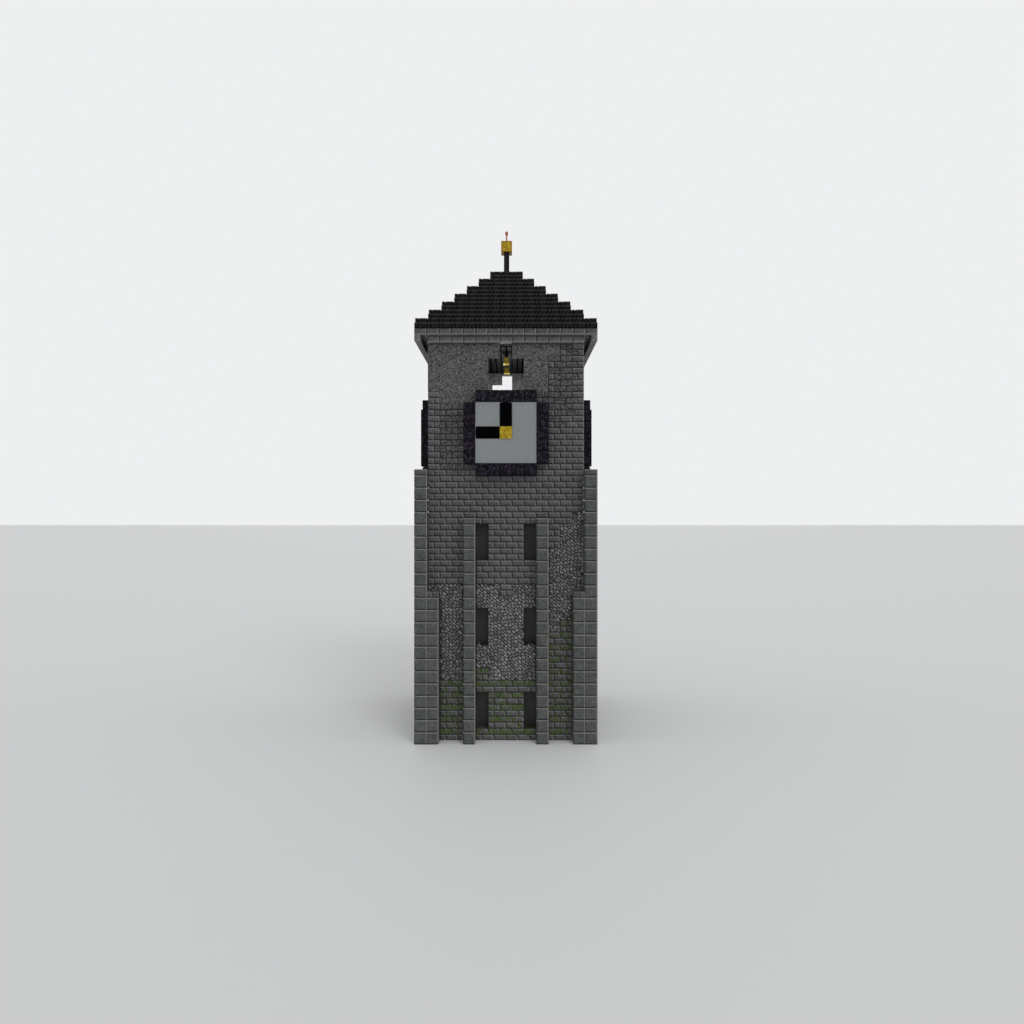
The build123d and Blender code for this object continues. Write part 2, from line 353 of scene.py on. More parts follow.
@dataclass(frozen=True)
class StoneFinish:
    """A stone surface: colours from hollows to crests, grain, joints' arrises, lit ones with a painted
    highlight and wear and the rest with painted shade and dirt, moss and gloss.
    """

    # Each noise's detail and roughness, and how much each counts in the surface's relief
    GRAIN = (6, 0.62)
    FINE = (3, 0.7)
    PATCH_DETAIL = 4
    DEPTHS = (1.5, 1.0, 0.25)
    GRAIN_SHARE = 0.7

    # The ends between which a noise shows, and how dark it makes the stone
    SPECKS = (0.56, 0.68)
    PITS = (0.32, 0.44)
    PIT_SHADE = 0.6
    # The arrises' painted highlight is broken up like wear, and their painted shade, partly dirt, darkens
    # them to a share
    WEAR = (0.3, 0.6, 0.4, 1.0)
    GRIME_SHADE = 0.55
    GLOSS = (0.3, 0.7)

    # Moss: its clumps' and tufts' scale, detail and roughness, where it grows, and its colours
    CLUMPS = (14.0, 5, 0.65)
    TUFTS = (95.0, 3, 0.7)
    MOSS_REACH = 0.26
    MOSS_EDGE = (0.68, 0.72)
    MOSS_FROM = (0.02, 0.1)
    MOSS_STOPS = ((0.35, (46, 58, 28)), (0.65, (84, 100, 58)))
    MOSS_DEPTH = 0.02

    name: str
    slot: str
    dark: Colour
    middle: Colour
    light: Colour
    # The arris colour is the painted highlight of the lit arrises, partly wear; the two numbers after it set
    # how much shows and how dark the other arrises are painted in shade, partly dirt
    arris: Colour = (120, 118, 114)
    arris_amount: float = 0.45
    grime: float = 0.7
    grain: float = 26.0
    patches: float = 3.0
    span: float = 0.16
    stretch: Corner = (1, 1, 1)
    tone_spread: float = 0.3
    speckle: float = 0.25
    specks: float = 150.0
    depth: float = 0.006
    bump: float = 0.5
    rough: tuple[float, float] = (0.75, 0.95)
    specular: float = 0.3
    moss: bool = False

    def material(self) -> bpy.types.Material:
        """Build the finish's material.

        Returns:
            The material.
        """
        paint = Paint(self.name)
        plain = paint.place()
        grain = paint.noise(paint.place(self.stretch), self.grain, *self.GRAIN)
        patches = paint.noise(plain, self.patches, self.PATCH_DETAIL)
        fine = paint.noise(plain, self.specks, *self.FINE)
        blend = paint.maths("ADD", paint.maths("MULTIPLY", grain, self.GRAIN_SHARE),
                            paint.maths("MULTIPLY", patches, 1 - self.GRAIN_SHARE))
        colour = paint.ramp(blend, (0.5 - self.span, self.dark), (0.5, self.middle),
                            (0.5 + self.span, self.light))
        colour = paint.mix(paint.spread(fine, *self.SPECKS, 0.0, self.speckle), colour, self.arris)
        pits = paint.spread(fine, *self.PITS, self.speckle, 0.0)
        colour = paint.mix(pits, colour, self.shaded(self.PIT_SHADE))
        tone = paint.spread(paint.mark("tone"), 0.0, 1.0, 1 - self.tone_spread, 1 + self.tone_spread)
        colour = paint.scaled(colour, tone)
        # Lit arrises get a painted highlight broken up like wear, and the others painted shade with some dirt
        arris = paint.mark("arris")
        wear_and_highlight = paint.maths("MULTIPLY", paint.spread(arris, 0.0, 1.0), paint.spread(grain, *self.WEAR))
        colour = paint.mix(paint.maths("MULTIPLY", wear_and_highlight, self.arris_amount), colour, self.arris)
        grime = paint.spread(arris, -1.0, 0.0, self.grime, 0.0)
        colour = paint.mix(grime, colour, self.shaded(self.GRIME_SHADE))
        heights = [(height, self.depth * share) for height, share in zip((patches, grain, fine), self.DEPTHS)]
        gloss = paint.spread(grain, *self.GLOSS, *self.rough)
        if self.moss:
            cover, tufts = self.cover(paint, plain)
            green = paint.ramp(tufts, *self.MOSS_STOPS)
            colour = paint.mix(cover, colour, green)
            gloss = paint.maths("MAXIMUM", gloss, cover)
            heights.append((paint.maths("MULTIPLY", cover, tufts), self.MOSS_DEPTH))
        paint.shade(Base_Color=colour, Roughness=gloss, Specular_IOR_Level=self.specular)
        paint.bump(heights, self.bump)
        return paint.material

    def shaded(self, share: float) -> Colour:
        """The dark colour at a share of its lightness."""
        return tuple(part * share for part in self.dark)

    def cover(self, paint: Paint, plain: Socket) -> tuple[Socket, Socket]:
        """Where the stone's own moss value and a noise let moss grow, and the moss's tufts.

        Args:
            paint: the material's nodes.
            plain: object coordinates.

        Returns:
            How much moss covers the stone, and the height of its tufts.
        """
        clumps = paint.noise(plain, *self.CLUMPS)
        moss = paint.mark("moss")
        wanted = paint.maths("ADD", clumps, paint.maths("MULTIPLY", moss, self.MOSS_REACH))
        edge = paint.spread(wanted, *self.MOSS_EDGE)
        cover = paint.maths("MULTIPLY", edge, paint.spread(moss, *self.MOSS_FROM))
        return cover, paint.noise(plain, *self.TUFTS)


@dataclass(frozen=True)
class MetalFinish:
    """A metal surface with its worn and dull places, and a rim where its mesh has one."""

    # How much finer the fine noise and the hammering are than the patches
    FINE = 9
    HAMMER = 2.2
    DETAIL = (4, 0.6)

    # Where along the patches the dull, bright and worn colours are, and where the fine noise shows
    STOPS = (0.36, 0.55, 0.7)
    DULLED = (0.6, 0.75, 0.0, 0.5)
    GLOSS = (0.3, 0.7)
    FINE_DEPTH = 0.3
    BUMP = 0.6

    name: str
    slot: str
    bright: Colour
    dull: Colour
    edge: Colour
    rim: Colour = (132, 78, 6)
    rim_amount: float = 0.9
    metallic: float = 0.75
    rough: tuple[float, float] = (0.35, 0.6)
    grain: float = 9.0
    depth: float = 0.003

    def material(self) -> bpy.types.Material:
        """Build the finish's material.

        Returns:
            The material.
        """
        paint = Paint(self.name)
        place = paint.place()
        patches = paint.noise(place, self.grain, *self.DETAIL)
        fine = paint.noise(place, self.grain * self.FINE, *self.DETAIL)
        hammer = paint.add("ShaderNodeTexVoronoi", {"Vector": place, "Scale": self.grain * self.HAMMER})
        colour = paint.ramp(patches, *zip(self.STOPS, (self.dull, self.bright, self.edge)))
        colour = paint.mix(paint.spread(fine, *self.DULLED), colour, self.dull)
        colour = paint.mix(paint.maths("MULTIPLY", paint.mark("rim"), self.rim_amount), colour, self.rim)
        gloss = paint.spread(fine, *self.GLOSS, *self.rough)
        paint.shade(Base_Color=colour, Roughness=gloss, Metallic=self.metallic)
        heights = [(hammer.outputs["Distance"], self.depth), (fine, self.depth * self.FINE_DEPTH)]
        paint.bump(heights, self.BUMP)
        return paint.material


class Finishes:
    """Every finish of the tower."""

    # Each stone finish's arris colour and amount give the painted highlight on its lit arrises, partly wear,
    # and the arrises on the far side are darkened as painted shade, partly dirt
    brick = StoneFinish(
        "grey_brick", "masonry", (60, 60, 60), (78, 78, 78), (92, 91, 93), moss=True, tone_spread=0.14,
        arris=(114, 112, 116), arris_amount=0.95, grime=0.55, grain=17.0, depth=0.005, specular=0.1,
        speckle=0.5, specks=30.0, span=0.11,
    )
    cap = replace(
        brick, name="cap_brick", slot="polished_stone", dark=(53, 53, 54), middle=(70, 70, 71),
        light=(84, 83, 85), arris=(102, 100, 103), arris_amount=0.6, grime=0.5, moss=False,
    )
    cobble = StoneFinish(
        "cobbles", "masonry", (72, 72, 72), (104, 104, 104), (136, 136, 135), tone_spread=0.55,
        arris=(146, 145, 143), arris_amount=0.4, grime=0.6, grain=14.0, specular=0.1, specks=60.0,
    )
    # The full tone spread turns the outer face's heights into painted shade in the hollows and painted
    # highlight on the crests; the inner face's tone varies at random
    rough = StoneFinish(
        "rough_stone", "masonry", (58, 58, 60), (79, 79, 80), (102, 102, 101), tone_spread=1.0, span=0.1,
        arris=(124, 128, 104), arris_amount=0.0, grime=0.0, grain=30.0, bump=0.6, specular=0.1,
        patches=15.0, speckle=0.5, specks=45.0,
    )
    dressed = StoneFinish(
        "dressed_stone", "polished_stone", (53, 55, 58), (69, 72, 72), (80, 83, 82), tone_spread=0.05,
        arris=(118, 115, 108), arris_amount=1.0, grime=0.85, grain=11.0, stretch=(1, 1, 2.2), depth=0.002,
        bump=0.35, rough=(0.5, 0.75), specular=0.12, speckle=0.6, specks=20.0, span=0.1,
    )
    # A lighter copy of the dressed stone for the cornice's lower row: painted light against the shade it sits
    # in
    hung = replace(
        dressed, name="dressed_underside", dark=(74, 77, 80), middle=(90, 93, 93), light=(100, 104, 103),
        arris=(122, 119, 112), grime=0.75,
    )
    tile = StoneFinish(
        "dark_tile", "dark_tile", (12, 12, 13), (19, 19, 20), (27, 27, 29), arris=(62, 62, 65),
        arris_amount=1.0, grime=0.9, grain=16.0, depth=0.003, rough=(0.55, 0.8), specular=0.06,
        speckle=0.2, specks=40.0,
    )
    # A darker copy of the roof tile for the belfry's ceiling: painted shade of an underside
    ceiling = replace(
        tile, name="ceiling_tile", dark=(6, 6, 7), middle=(10, 10, 11), light=(17, 17, 18),
        tone_spread=0.6, arris=(46, 46, 48), grime=1.0,
    )
    glassy = StoneFinish(
        "near_black_stone", "frame_stone", (1, 0, 2), (9, 6, 11), (46, 41, 54), tone_spread=0.15,
        arris=(34, 30, 40), arris_amount=0.5, grime=0.5, grain=13.0, patches=7.0, depth=0.008, bump=0.6,
        rough=(0.35, 0.55), specular=0.05, speckle=0.5, specks=30.0, span=0.07,
    )
    mortar = StoneFinish(
        "mortar", "masonry", (38, 38, 37), (46, 45, 45), (56, 55, 54), tone_spread=0.0, depth=0.004,
        arris_amount=0.0, grime=0.0, specular=0.1,
    )
    seam = replace(
        mortar, name="grey_seam", slot="polished_stone", dark=(34, 35, 34), middle=(41, 42, 41),
        light=(50, 51, 50), depth=0.006,
    )
    bedding = replace(
        seam, name="dark_bedding", slot="dark_tile", dark=(5, 5, 5), middle=(8, 8, 8), light=(12, 12, 12),
        specular=0.05,
    )
    gap = replace(
        bedding, name="black_bedding", dark=(0, 0, 0), middle=(1, 1, 1), light=(2, 2, 2), specular=0.0,
        arris=(3, 3, 3),
    )
    dial = StoneFinish(
        "pale_dial_stone", "dial_stone", (116, 120, 120), (120, 124, 124), (124, 128, 128),
        tone_spread=0.0, arris=(134, 138, 138), arris_amount=0.0, grime=0.0, grain=9.0, patches=1.2,
        depth=0.0008, bump=0.25, rough=(0.5, 0.62), specular=0.15, speckle=0.08,
    )
    pane = StoneFinish(
        "dark_pane", "window_pane", (52, 52, 52), (56, 56, 56), (60, 60, 60), tone_spread=0.04,
        arris=(66, 66, 66), arris_amount=0.4, grime=0.2, grain=5.0, depth=0.0006, bump=0.3,
        rough=(0.35, 0.5), specular=0.1, speckle=0.05,
    )
    hand = StoneFinish(
        "black_plate", "hand_black", (1, 1, 2), (2, 2, 4), (5, 5, 7), tone_spread=0.0, arris_amount=0.0,
        grime=0.0, grain=6.0, depth=0.0008, bump=0.3, rough=(0.4, 0.6), specular=0.01, speckle=0.05,
        arris=(20, 20, 24),
    )
    tufts = StoneFinish(
        "moss_tufts", "masonry", (46, 58, 33), (68, 82, 48), (90, 104, 66), arris=(100, 122, 60),
        arris_amount=0.0, grime=0.0, grain=40.0, patches=12.0, depth=0.008, bump=0.8, rough=(0.9, 1.0),
        specular=0.05, speckle=0.4, specks=120.0,
    )
    gilt = MetalFinish("gilt", "gilt", (139, 119, 14), (116, 86, 4), (160, 148, 52))
    bronze = MetalFinish(
        "bell_metal", "bell_bronze", (206, 182, 40), (166, 142, 24), (224, 208, 110), metallic=0.3,
        rough=(0.4, 0.65), grain=30.0, depth=0.001,
    )
    iron = MetalFinish(
        "fork_iron", "hanger_iron", (42, 32, 22), (24, 18, 13), (60, 46, 32), metallic=0.5, grain=30.0,
        rough=(0.5, 0.75), depth=0.0015,
    )
    copper = MetalFinish(
        "copper_rod", "copper", (150, 82, 58), (108, 56, 42), (170, 108, 84), grain=26.0, depth=0.0008
    )


Finish = StoneFinish | MetalFinish


def link(name: str, data: bpy.types.ID, place: Corner = (0, 0, 0),
         turn: Corner = (0, 0, 0)) -> bpy.types.Object:
    """Put a mesh, a lamp or a camera in the scene.

    Args:
        name: its name.
        data: its mesh, lamp or camera.
        place: where it is.
        turn: its turn in radians.

    Returns:
        The object.
    """
    made = bpy.data.objects.new(name, data)
    made.location = place
    made.rotation_euler = turn
    bpy.context.scene.collection.objects.link(made)
    return made


def make_mesh(name: str, points: list, faces: list, smooth: list[bool]) -> bpy.types.Mesh:
    """A mesh of points and faces.

    Args:
        name: its name.
        points: its points.
        faces: the numbers of their points.
        smooth: which faces are smooth.

    Returns:
        The mesh.
    """
    mesh = bpy.data.meshes.new(name)
    mesh.from_pydata(points, [], faces)
    mesh.polygons.foreach_set("use_smooth", smooth)
    return mesh


def mark(mesh: bpy.types.Mesh, name: str, domain: str, rows: list) -> None:
    """Let each point or face of a mesh carry a number or a vector under a name.

    Args:
        mesh: the mesh.
        name: the name.
        domain: POINT or FACE.
        rows: their values.
    """
    is_vector = not isinstance(rows[0], (int, float))
    layer = mesh.attributes.new(name, "FLOAT_VECTOR" if is_vector else "FLOAT", domain)
    flat = [part for row in rows for part in row] if is_vector else rows
    layer.data.foreach_set("vector" if is_vector else "value", flat)


class PieceTree(Wiring):
    """Geometry Nodes that put a piece on each point, realize it, move its points and finish it."""

    NAME: str
    SIZES: tuple[str, ...]
    DETAIL: float
    WORKINGS = ("seat", "half_size", "turn", "size", "corner", "ease", "band", "inward", "draft")

    def __init__(self) -> None:
        """Build the tree and remember its inputs' identifiers."""
        super().__init__(bpy.data.node_groups.new(self.NAME, "GeometryNodeTree"))
        kinds = {"Geometry": "Geometry", "Piece": "Object", "Finish": "Material"}
        kinds.update(dict.fromkeys(self.SIZES, "Float"))
        self.identifiers = {}
        for name, kind in kinds.items():
            socket = self.tree.interface.new_socket(name, in_out="INPUT", socket_type="NodeSocket" + kind)
            self.identifiers[name] = socket.identifier
        self.tree.interface.new_socket("Geometry", in_out="OUTPUT", socket_type="NodeSocketGeometry")
        self.start = self.add("NodeGroupInput").outputs
        seat = {"Geometry": self.start["Geometry"], "Name": "seat", "Value": self.position()}
        seated = self.add("GeometryNodeStoreNamedAttribute", seat, data_type="FLOAT_VECTOR", domain="POINT")
        piece = self.add("GeometryNodeObjectInfo", {"Object": self.start["Piece"]}).outputs["Geometry"]
        laid = {"Points": seated.outputs[0], "Instance": piece, **self.pose()}
        made = self.add("GeometryNodeInstanceOnPoints", laid)
        made = self.add("GeometryNodeRealizeInstances", {"Geometry": made.outputs[0]})
        made = self.add("GeometryNodeSetPosition", {"Geometry": made.outputs[0], **self.move()})
        finish = {"Geometry": made.outputs[0], "Material": self.start["Finish"]}
        self.add("NodeGroupOutput", {0: self.add("GeometryNodeSetMaterial", finish).outputs[0]})

    def position(self) -> Socket:
        """Where each point is."""
        return self.add("GeometryNodeInputPosition").outputs[0]

    def named(self, name: str) -> Socket:
        """A vector that the points carry under a name."""
        node = self.add("GeometryNodeInputNamedAttribute", {"Name": name}, data_type="FLOAT_VECTOR")
        return node.outputs["Attribute"]

    def uneven(self, vector: Socket) -> Socket:
        """A seeded noise over a vector, as high as the relief.

        Args:
            vector: the place.

        Returns:
            The height.
        """
        inputs = {"Vector": vector, "W": self.start["Seed"], "Scale": self.start["Grain"],
                  "Detail": self.DETAIL}
        height = self.add("ShaderNodeTexNoise", inputs, noise_dimensions="4D").outputs[0]
        return self.maths("MULTIPLY", height, self.start["Relief"])

    def pose(self) -> dict[str, Socket]:
        """How each piece is turned and sized on its point."""
        return {}

    def move(self) -> dict[str, Socket]:
        """How the pieces' points are moved."""
        raise NotImplementedError

    def grow(self, name: str, places: list[Corner], marks: dict[str, list], values: dict) -> bpy.types.Mesh:
        """Run the tree over points and keep the result as one plain mesh.

        Args:
            name: the finished piece's name.
            places: the points.
            marks: what the points carry, by name.
            values: the tree's inputs by name.

        Returns:
            The mesh, without the marks that only the tree needs.
        """
        points = make_mesh(name + "_points", places, [], [])
        for label, rows in marks.items():
            mark(points, label, "POINT", rows)
        maker = link(name + "_maker", points)
        modifier = maker.modifiers.new("make", "NODES")
        modifier.node_group = self.tree
        for label, value in values.items():
            modifier[self.identifiers[label]] = value
        graph = bpy.context.evaluated_depsgraph_get()
        mesh = bpy.data.meshes.new_from_object(maker.evaluated_get(graph))
        bpy.data.objects.remove(maker)
        for label in self.WORKINGS:
            if label in mesh.attributes:
                mesh.attributes.remove(mesh.attributes[label])
        return mesh


class StoneTree(PieceTree):
    """Puts a blank on each point, and cuts, eases and roughens it to its stone."""

    NAME = "cut_stones"
    SIZES = ("Ease", "Margin", "Sink", "Relief", "Grain", "Seed")
    DETAIL = 3.0

    def vector(self, operation: str, first: Socket, second: Socket) -> Socket:
        """One sum of two vectors."""
        return self.add("ShaderNodeVectorMath", {0: first, 1: second}, operation=operation).outputs[0]

    def move(self) -> dict[str, Socket]:
        """Give each blank its size, then move its points by the ease, the band and the rest.

        Returns:
            The new position.
        """
        half = self.vector("MULTIPLY", self.named("corner"), self.named("half_size"))
        blank = self.vector("ADD", half, self.named("seat"))
        moves = {"ease": self.start["Ease"], "band": self.start["Margin"], "draft": self.start["Sink"],
                 "inward": self.uneven(blank)}
        place = blank
        for name, amount in moves.items():
            place = self.vector("ADD", place, self.scaled(self.named(name), amount))
        return {"Position": place}


class TuftTree(PieceTree):
    """Puts an uneven tuft of moss on each point."""

    NAME = "moss_tufts"
    SIZES = ("Relief", "Grain", "Seed")
    DETAIL = 2.0

    def pose(self) -> dict[str, Socket]:
        """Each tuft's own turn and size."""
        return {"Rotation": self.named("turn"), "Scale": self.named("size")}

    def move(self) -> dict[str, Socket]:
        """Push the points along their normals."""
        normal = self.add("GeometryNodeInputNormal").outputs[0]
        return {"Offset": self.scaled(normal, self.uneven(self.position()))}


class StoneBlank:
    """A box of two units a side, whose points carry where they go once the stone has its size."""

    LABELS = ("corner", "ease", "band", "inward", "draft")
    NUDGE = 0.05
    # The top and foot faces' margins carry this much painted highlight all round
    TOP_MARGIN = 0.6

    def __init__(self, form: StoneForm) -> None:
        """Build the blank of a form, with its hidden object.

        Args:
            form: its form.
        """
        self.rows: list[tuple[list[float], ...]] = []
        self.faces: list[tuple[list[int], float, bool]] = []
        self.keys: dict[tuple[int, ...], int] = {}
        front, rest, self.lit_across, self.lit_up = form.value
        self.cells = {(axis, sign): rest for axis in range(3) for sign in (-1, 1)}
        self.cells[1, -1] = front
        for face in self.cells:
            self.add_face(*face)
        for along in range(3):
            first, second = self.others(along)
            for sign_a, sign_b in product((-1, 1), repeat=2):
                self.add_edge(along, (first, sign_a), (second, sign_b))
        for signs in product((-1, 1), repeat=3):
            self.add_corner(signs)
        self.object = bpy.data.objects.new(form.name.lower() + "_blank", self.write(form.name))

    @staticmethod
    def others(axis: int) -> list[int]:
        """The two axes beside one."""
        return [other for other in range(3) if other != axis]

    @staticmethod
    def line(index: int, cells: int) -> tuple[float, float, float]:
        """Where a dividing line is: its share of the half size, of the ease and of the band.

        Args:
            index: the line's number.
            cells: the face's cells across.

        Returns:
            The three shares.
        """
        if index in (0, cells):
            side = -1.0 if index == 0 else 1.0
            return side, -side, 0.0
        share = -1 + 2 * (index - 1) / (cells - 2)
        return share, -share, -share

    def point(self, axis: int, sign: int, first: int, second: int) -> int:
        """The number of a face's point, made once for each face and pair of lines.

        Args:
            axis: the face's axis.
            sign: its sign.
            first: its line on the first other axis.
            second: its line on the second.

        Returns:
            Its number.
        """
        key = (axis, sign, first, second)
        if key not in self.keys:
            cells = self.cells[axis, sign]
            corner, ease, band, inward = ([0.0] * 3 for _ in range(4))
            corner[axis], inward[axis] = float(sign), -float(sign)
            for other, index in zip(self.others(axis), (first, second)):
                corner[other], ease[other], band[other] = self.line(index, cells)
            at_rim = first in (0, cells) or second in (0, cells)
            self.keys[key] = len(self.rows)
            self.rows.append((corner, ease, band, inward, inward if at_rim else [0.0] * 3))
        return self.keys[key]

    def margin(self, axis: int, sign: int, first: int, second: int) -> float:
        """How light, or how dark below zero, a cell of a face's margin is painted: light is a painted
        highlight, partly wear, and dark is painted shade, partly dirt.

        Args:
            axis: the face's axis.
            sign: its sign.
            first: its cell on the first other axis.
            second: its cell on the second.

        Returns:
            Its arris, from -1 to 1.
        """
        last = self.cells[axis, sign] - 1
        if last == 0 or (0 < first < last and 0 < second < last):
            return 0.0
        if axis == 2:
            return self.TOP_MARGIN
        rightwards = sign * (1 if axis == 0 else -1) * self.lit_across
        if second == (last if self.lit_up > 0 else 0):
            return 1.0
        if first == (last if rightwards > 0 else 0):
            return abs(self.lit_across)
        return 0.0 if self.lit_up < 0 and second == last else -1.0

    def add_face(self, axis: int, sign: int) -> None:
        """Add one of the box's faces, divided into cells.

        Args:
            axis: the face's axis.
            sign: its sign.
        """
        cells = self.cells[axis, sign]
        for i, j in product(range(cells), repeat=2):
            ring = [self.point(axis, sign, i + di, j + dj) for di, dj in ((0, 0), (1, 0), (1, 1), (0, 1))]
            self.faces.append((ring, self.margin(axis, sign, i, j), cells > 3))

    def add_corner(self, signs: tuple[int, ...]) -> None:
        """Close a corner of the box with a triangle.

        Args:
            signs: its end of each axis.
        """
        ring = []
        for axis in range(3):
            cells = self.cells[axis, signs[axis]]
            ends = [0 if signs[other] < 0 else cells for other in self.others(axis)]
            ring.append(self.point(axis, signs[axis], *ends))
        self.faces.append((ring, 0.0, False))

    def rim(self, along: int, face: tuple[int, int], other: tuple[int, int]) -> list[int]:
        """The points of a face along its edge with another, in order.

        Args:
            along: the edge's axis.
            face: a face's axis and sign.
            other: the other's.

        Returns:
            The points' numbers.
        """
        cells = self.cells[face]
        end = 0 if other[1] < 0 else cells
        rows = [sorted([(along, index), (other[0], end)]) for index in range(cells + 1)]
        return [self.point(*face, *[value for _, value in row]) for row in rows]

    def add_edge(self, along: int, one: tuple[int, int], two: tuple[int, int]) -> None:
        """Join two faces along their common edge with quads, or a fan where one is finer.

        Args:
            along: the edge's axis.
            one: a face's axis and sign.
            two: the other's.
        """
        rows = [self.rim(along, one, two), self.rim(along, two, one)]
        # Chamfers along the top take the form's painted highlight and those along the foot its painted shade,
        # the other way round for a form lit from its foot
        share = float(dict((one, two)).get(2, 0))
        fine, coarse = sorted(rows, key=len, reverse=True)
        ratio = (len(fine) - 1) // (len(coarse) - 1)
        for step in range(len(coarse) - 1):
            ring = [coarse[step + 1], coarse[step]] + fine[step * ratio:(step + 1) * ratio + 1]
            self.faces.append((ring, share * self.lit_up, False))

    def write(self, name: str) -> bpy.types.Mesh:
        """Write the mesh with its named values, its faces outwards.

        Args:
            name: its name.

        Returns:
            The mesh.
        """
        places = [Vector(corner) + self.NUDGE * (Vector(ease) + Vector(band))
                  for corner, ease, band, _, _ in self.rows]
        rings = []
        for ring, _, _ in self.faces:
            middle = sum((places[number] for number in ring), Vector()) / len(ring)
            crosses = (places[here].cross(places[there]) for here, there in zip(ring, ring[1:] + ring[:1]))
            rings.append(ring if sum(crosses, Vector()).dot(middle) > 0 else ring[::-1])
        mesh = make_mesh(name.lower() + "_blank", [row[0] for row in self.rows], rings,
                         [smooth for _, _, smooth in self.faces])
        for label, values in zip(self.LABELS, zip(*self.rows)):
            mark(mesh, label, "POINT", values)
        # Each face's arris: a painted highlight above zero and painted shade below, partly wear and dirt
        mark(mesh, "arris", "FACE", [share for _, share, _ in self.faces])
        return mesh


class Yard:
    """Keeps the sizes, blanks, trees and materials, and hands finished pieces to the frame."""

    MERGE = 1e-5
    ALIKE = 0.9
    NEAR_END = 1e-4

    def __init__(self) -> None:
        """Take the sizes from the frame, and build the trees and the blanks."""
        low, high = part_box("front_wall")
        self.block = (high.x - low.x) / WALL_COLUMNS
        self.wall = -low.y
        self.face = -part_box("front_left_buttress")[0].y
        self.top = high.z
        self.stones, self.tufts = StoneTree(), TuftTree()
        self.blanks = {form: StoneBlank(form).object for form in StoneForm}
        self.materials: dict[str, bpy.types.Material] = {}

    def column(self, index: int) -> float:
        """Left edge of a wall column."""
        return -self.wall + (index - 1) * self.block

    def material(self, finish: Finish) -> bpy.types.Material:
        """The material of a finish, made once.

        Args:
            finish: the finish.

        Returns:
            Its material.
        """
        if finish.name not in self.materials:
            self.materials[finish.name] = finish.material()
        return self.materials[finish.name]

    def place(self, name: str, mesh: bpy.types.Mesh, finish: Finish, quarters: int = 0,
              nodes: tuple[str, ...] = ()) -> None:
        """Turn a finished mesh to its side and hand it to the frame as one piece.

        Args:
            name: the piece's name.
            mesh: its mesh, laid out as the front is seen.
            finish: its finish.
            quarters: quarter turns from the front to its side.
            nodes: the nodes that it stands for.
        """
        mesh.name = name
        if not mesh.materials:
            mesh.materials.append(self.material(finish))
        mesh.transform(Matrix.Rotation(quarters * pi / 2, 4, "Z"))
        piece = link(name, mesh)
        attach(piece, "tower")
        if nodes:
            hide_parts(*nodes)
        LOG.info("%s: %d triangles", name, sum(len(face.vertices) - 2 for face in mesh.polygons))

    def dress(self, finish: Finish, *nodes: str) -> None:
        """Give nodes of the frame a finish.

        Args:
            finish: the finish.
            nodes: their names.
        """
        for node in nodes:
            mesh = bpy.data.objects[node].data
            mesh.materials.clear()
            mesh.materials.append(self.material(finish))
            LOG.info("%s: dressed as %s", node, finish.name)

    def core(self, node: str, depth: float, finish: StoneFinish, lapped: int | None = None) -> None:
        """Copy a node's mesh and set its faces back, to show in the joints between the stones.

        Args:
            node: the node that the core stands for.
            depth: how far its faces are set back.
            finish: the core's finish.
            lapped: the axis whose end faces run on into the neighbours' cores instead.
        """
        mesh = bpy.data.objects[node].data.copy()
        mesh.materials.clear()
        shape = bmesh.new()
        shape.from_mesh(mesh)
        bmesh.ops.remove_doubles(shape, verts=shape.verts, dist=self.MERGE)
        shape.normal_update()
        ends = max(vertex.co[lapped or 0] for vertex in shape.verts) - self.NEAR_END
        moves = []
        for vertex in shape.verts:
            normals: list[Vector] = []
            for face in vertex.link_faces:
                if all(face.normal.dot(other) < self.ALIKE for other in normals):
                    normals.append(face.normal.copy())
            move = sum(normals, Vector()) * -depth
            if lapped is not None and abs(vertex.co[lapped]) > ends:
                move[lapped] = 2 * depth * (1 if vertex.co[lapped] > 0 else -1)
            moves.append(move)
        for vertex, move in zip(shape.verts, moves):
            vertex.co += move
        shape.to_mesh(mesh)
        shape.free()
        self.place(node + "_core", mesh, finish, nodes=(node,))


@dataclass(frozen=True)
class StoneCut:
    """How a layer's stones are cut.

    The joint is as wide as the gap between two stones. The ease is the arris that is taken off, the
    margin is the band round each face, sunk by the sink, and the relief is how uneven the faces are.
    """

    form: StoneForm
    joint: float
    ease: float
    margin: float = 0.03
    sink: float = 0.0
    relief: float = 0.0
    grain: float = 8.0


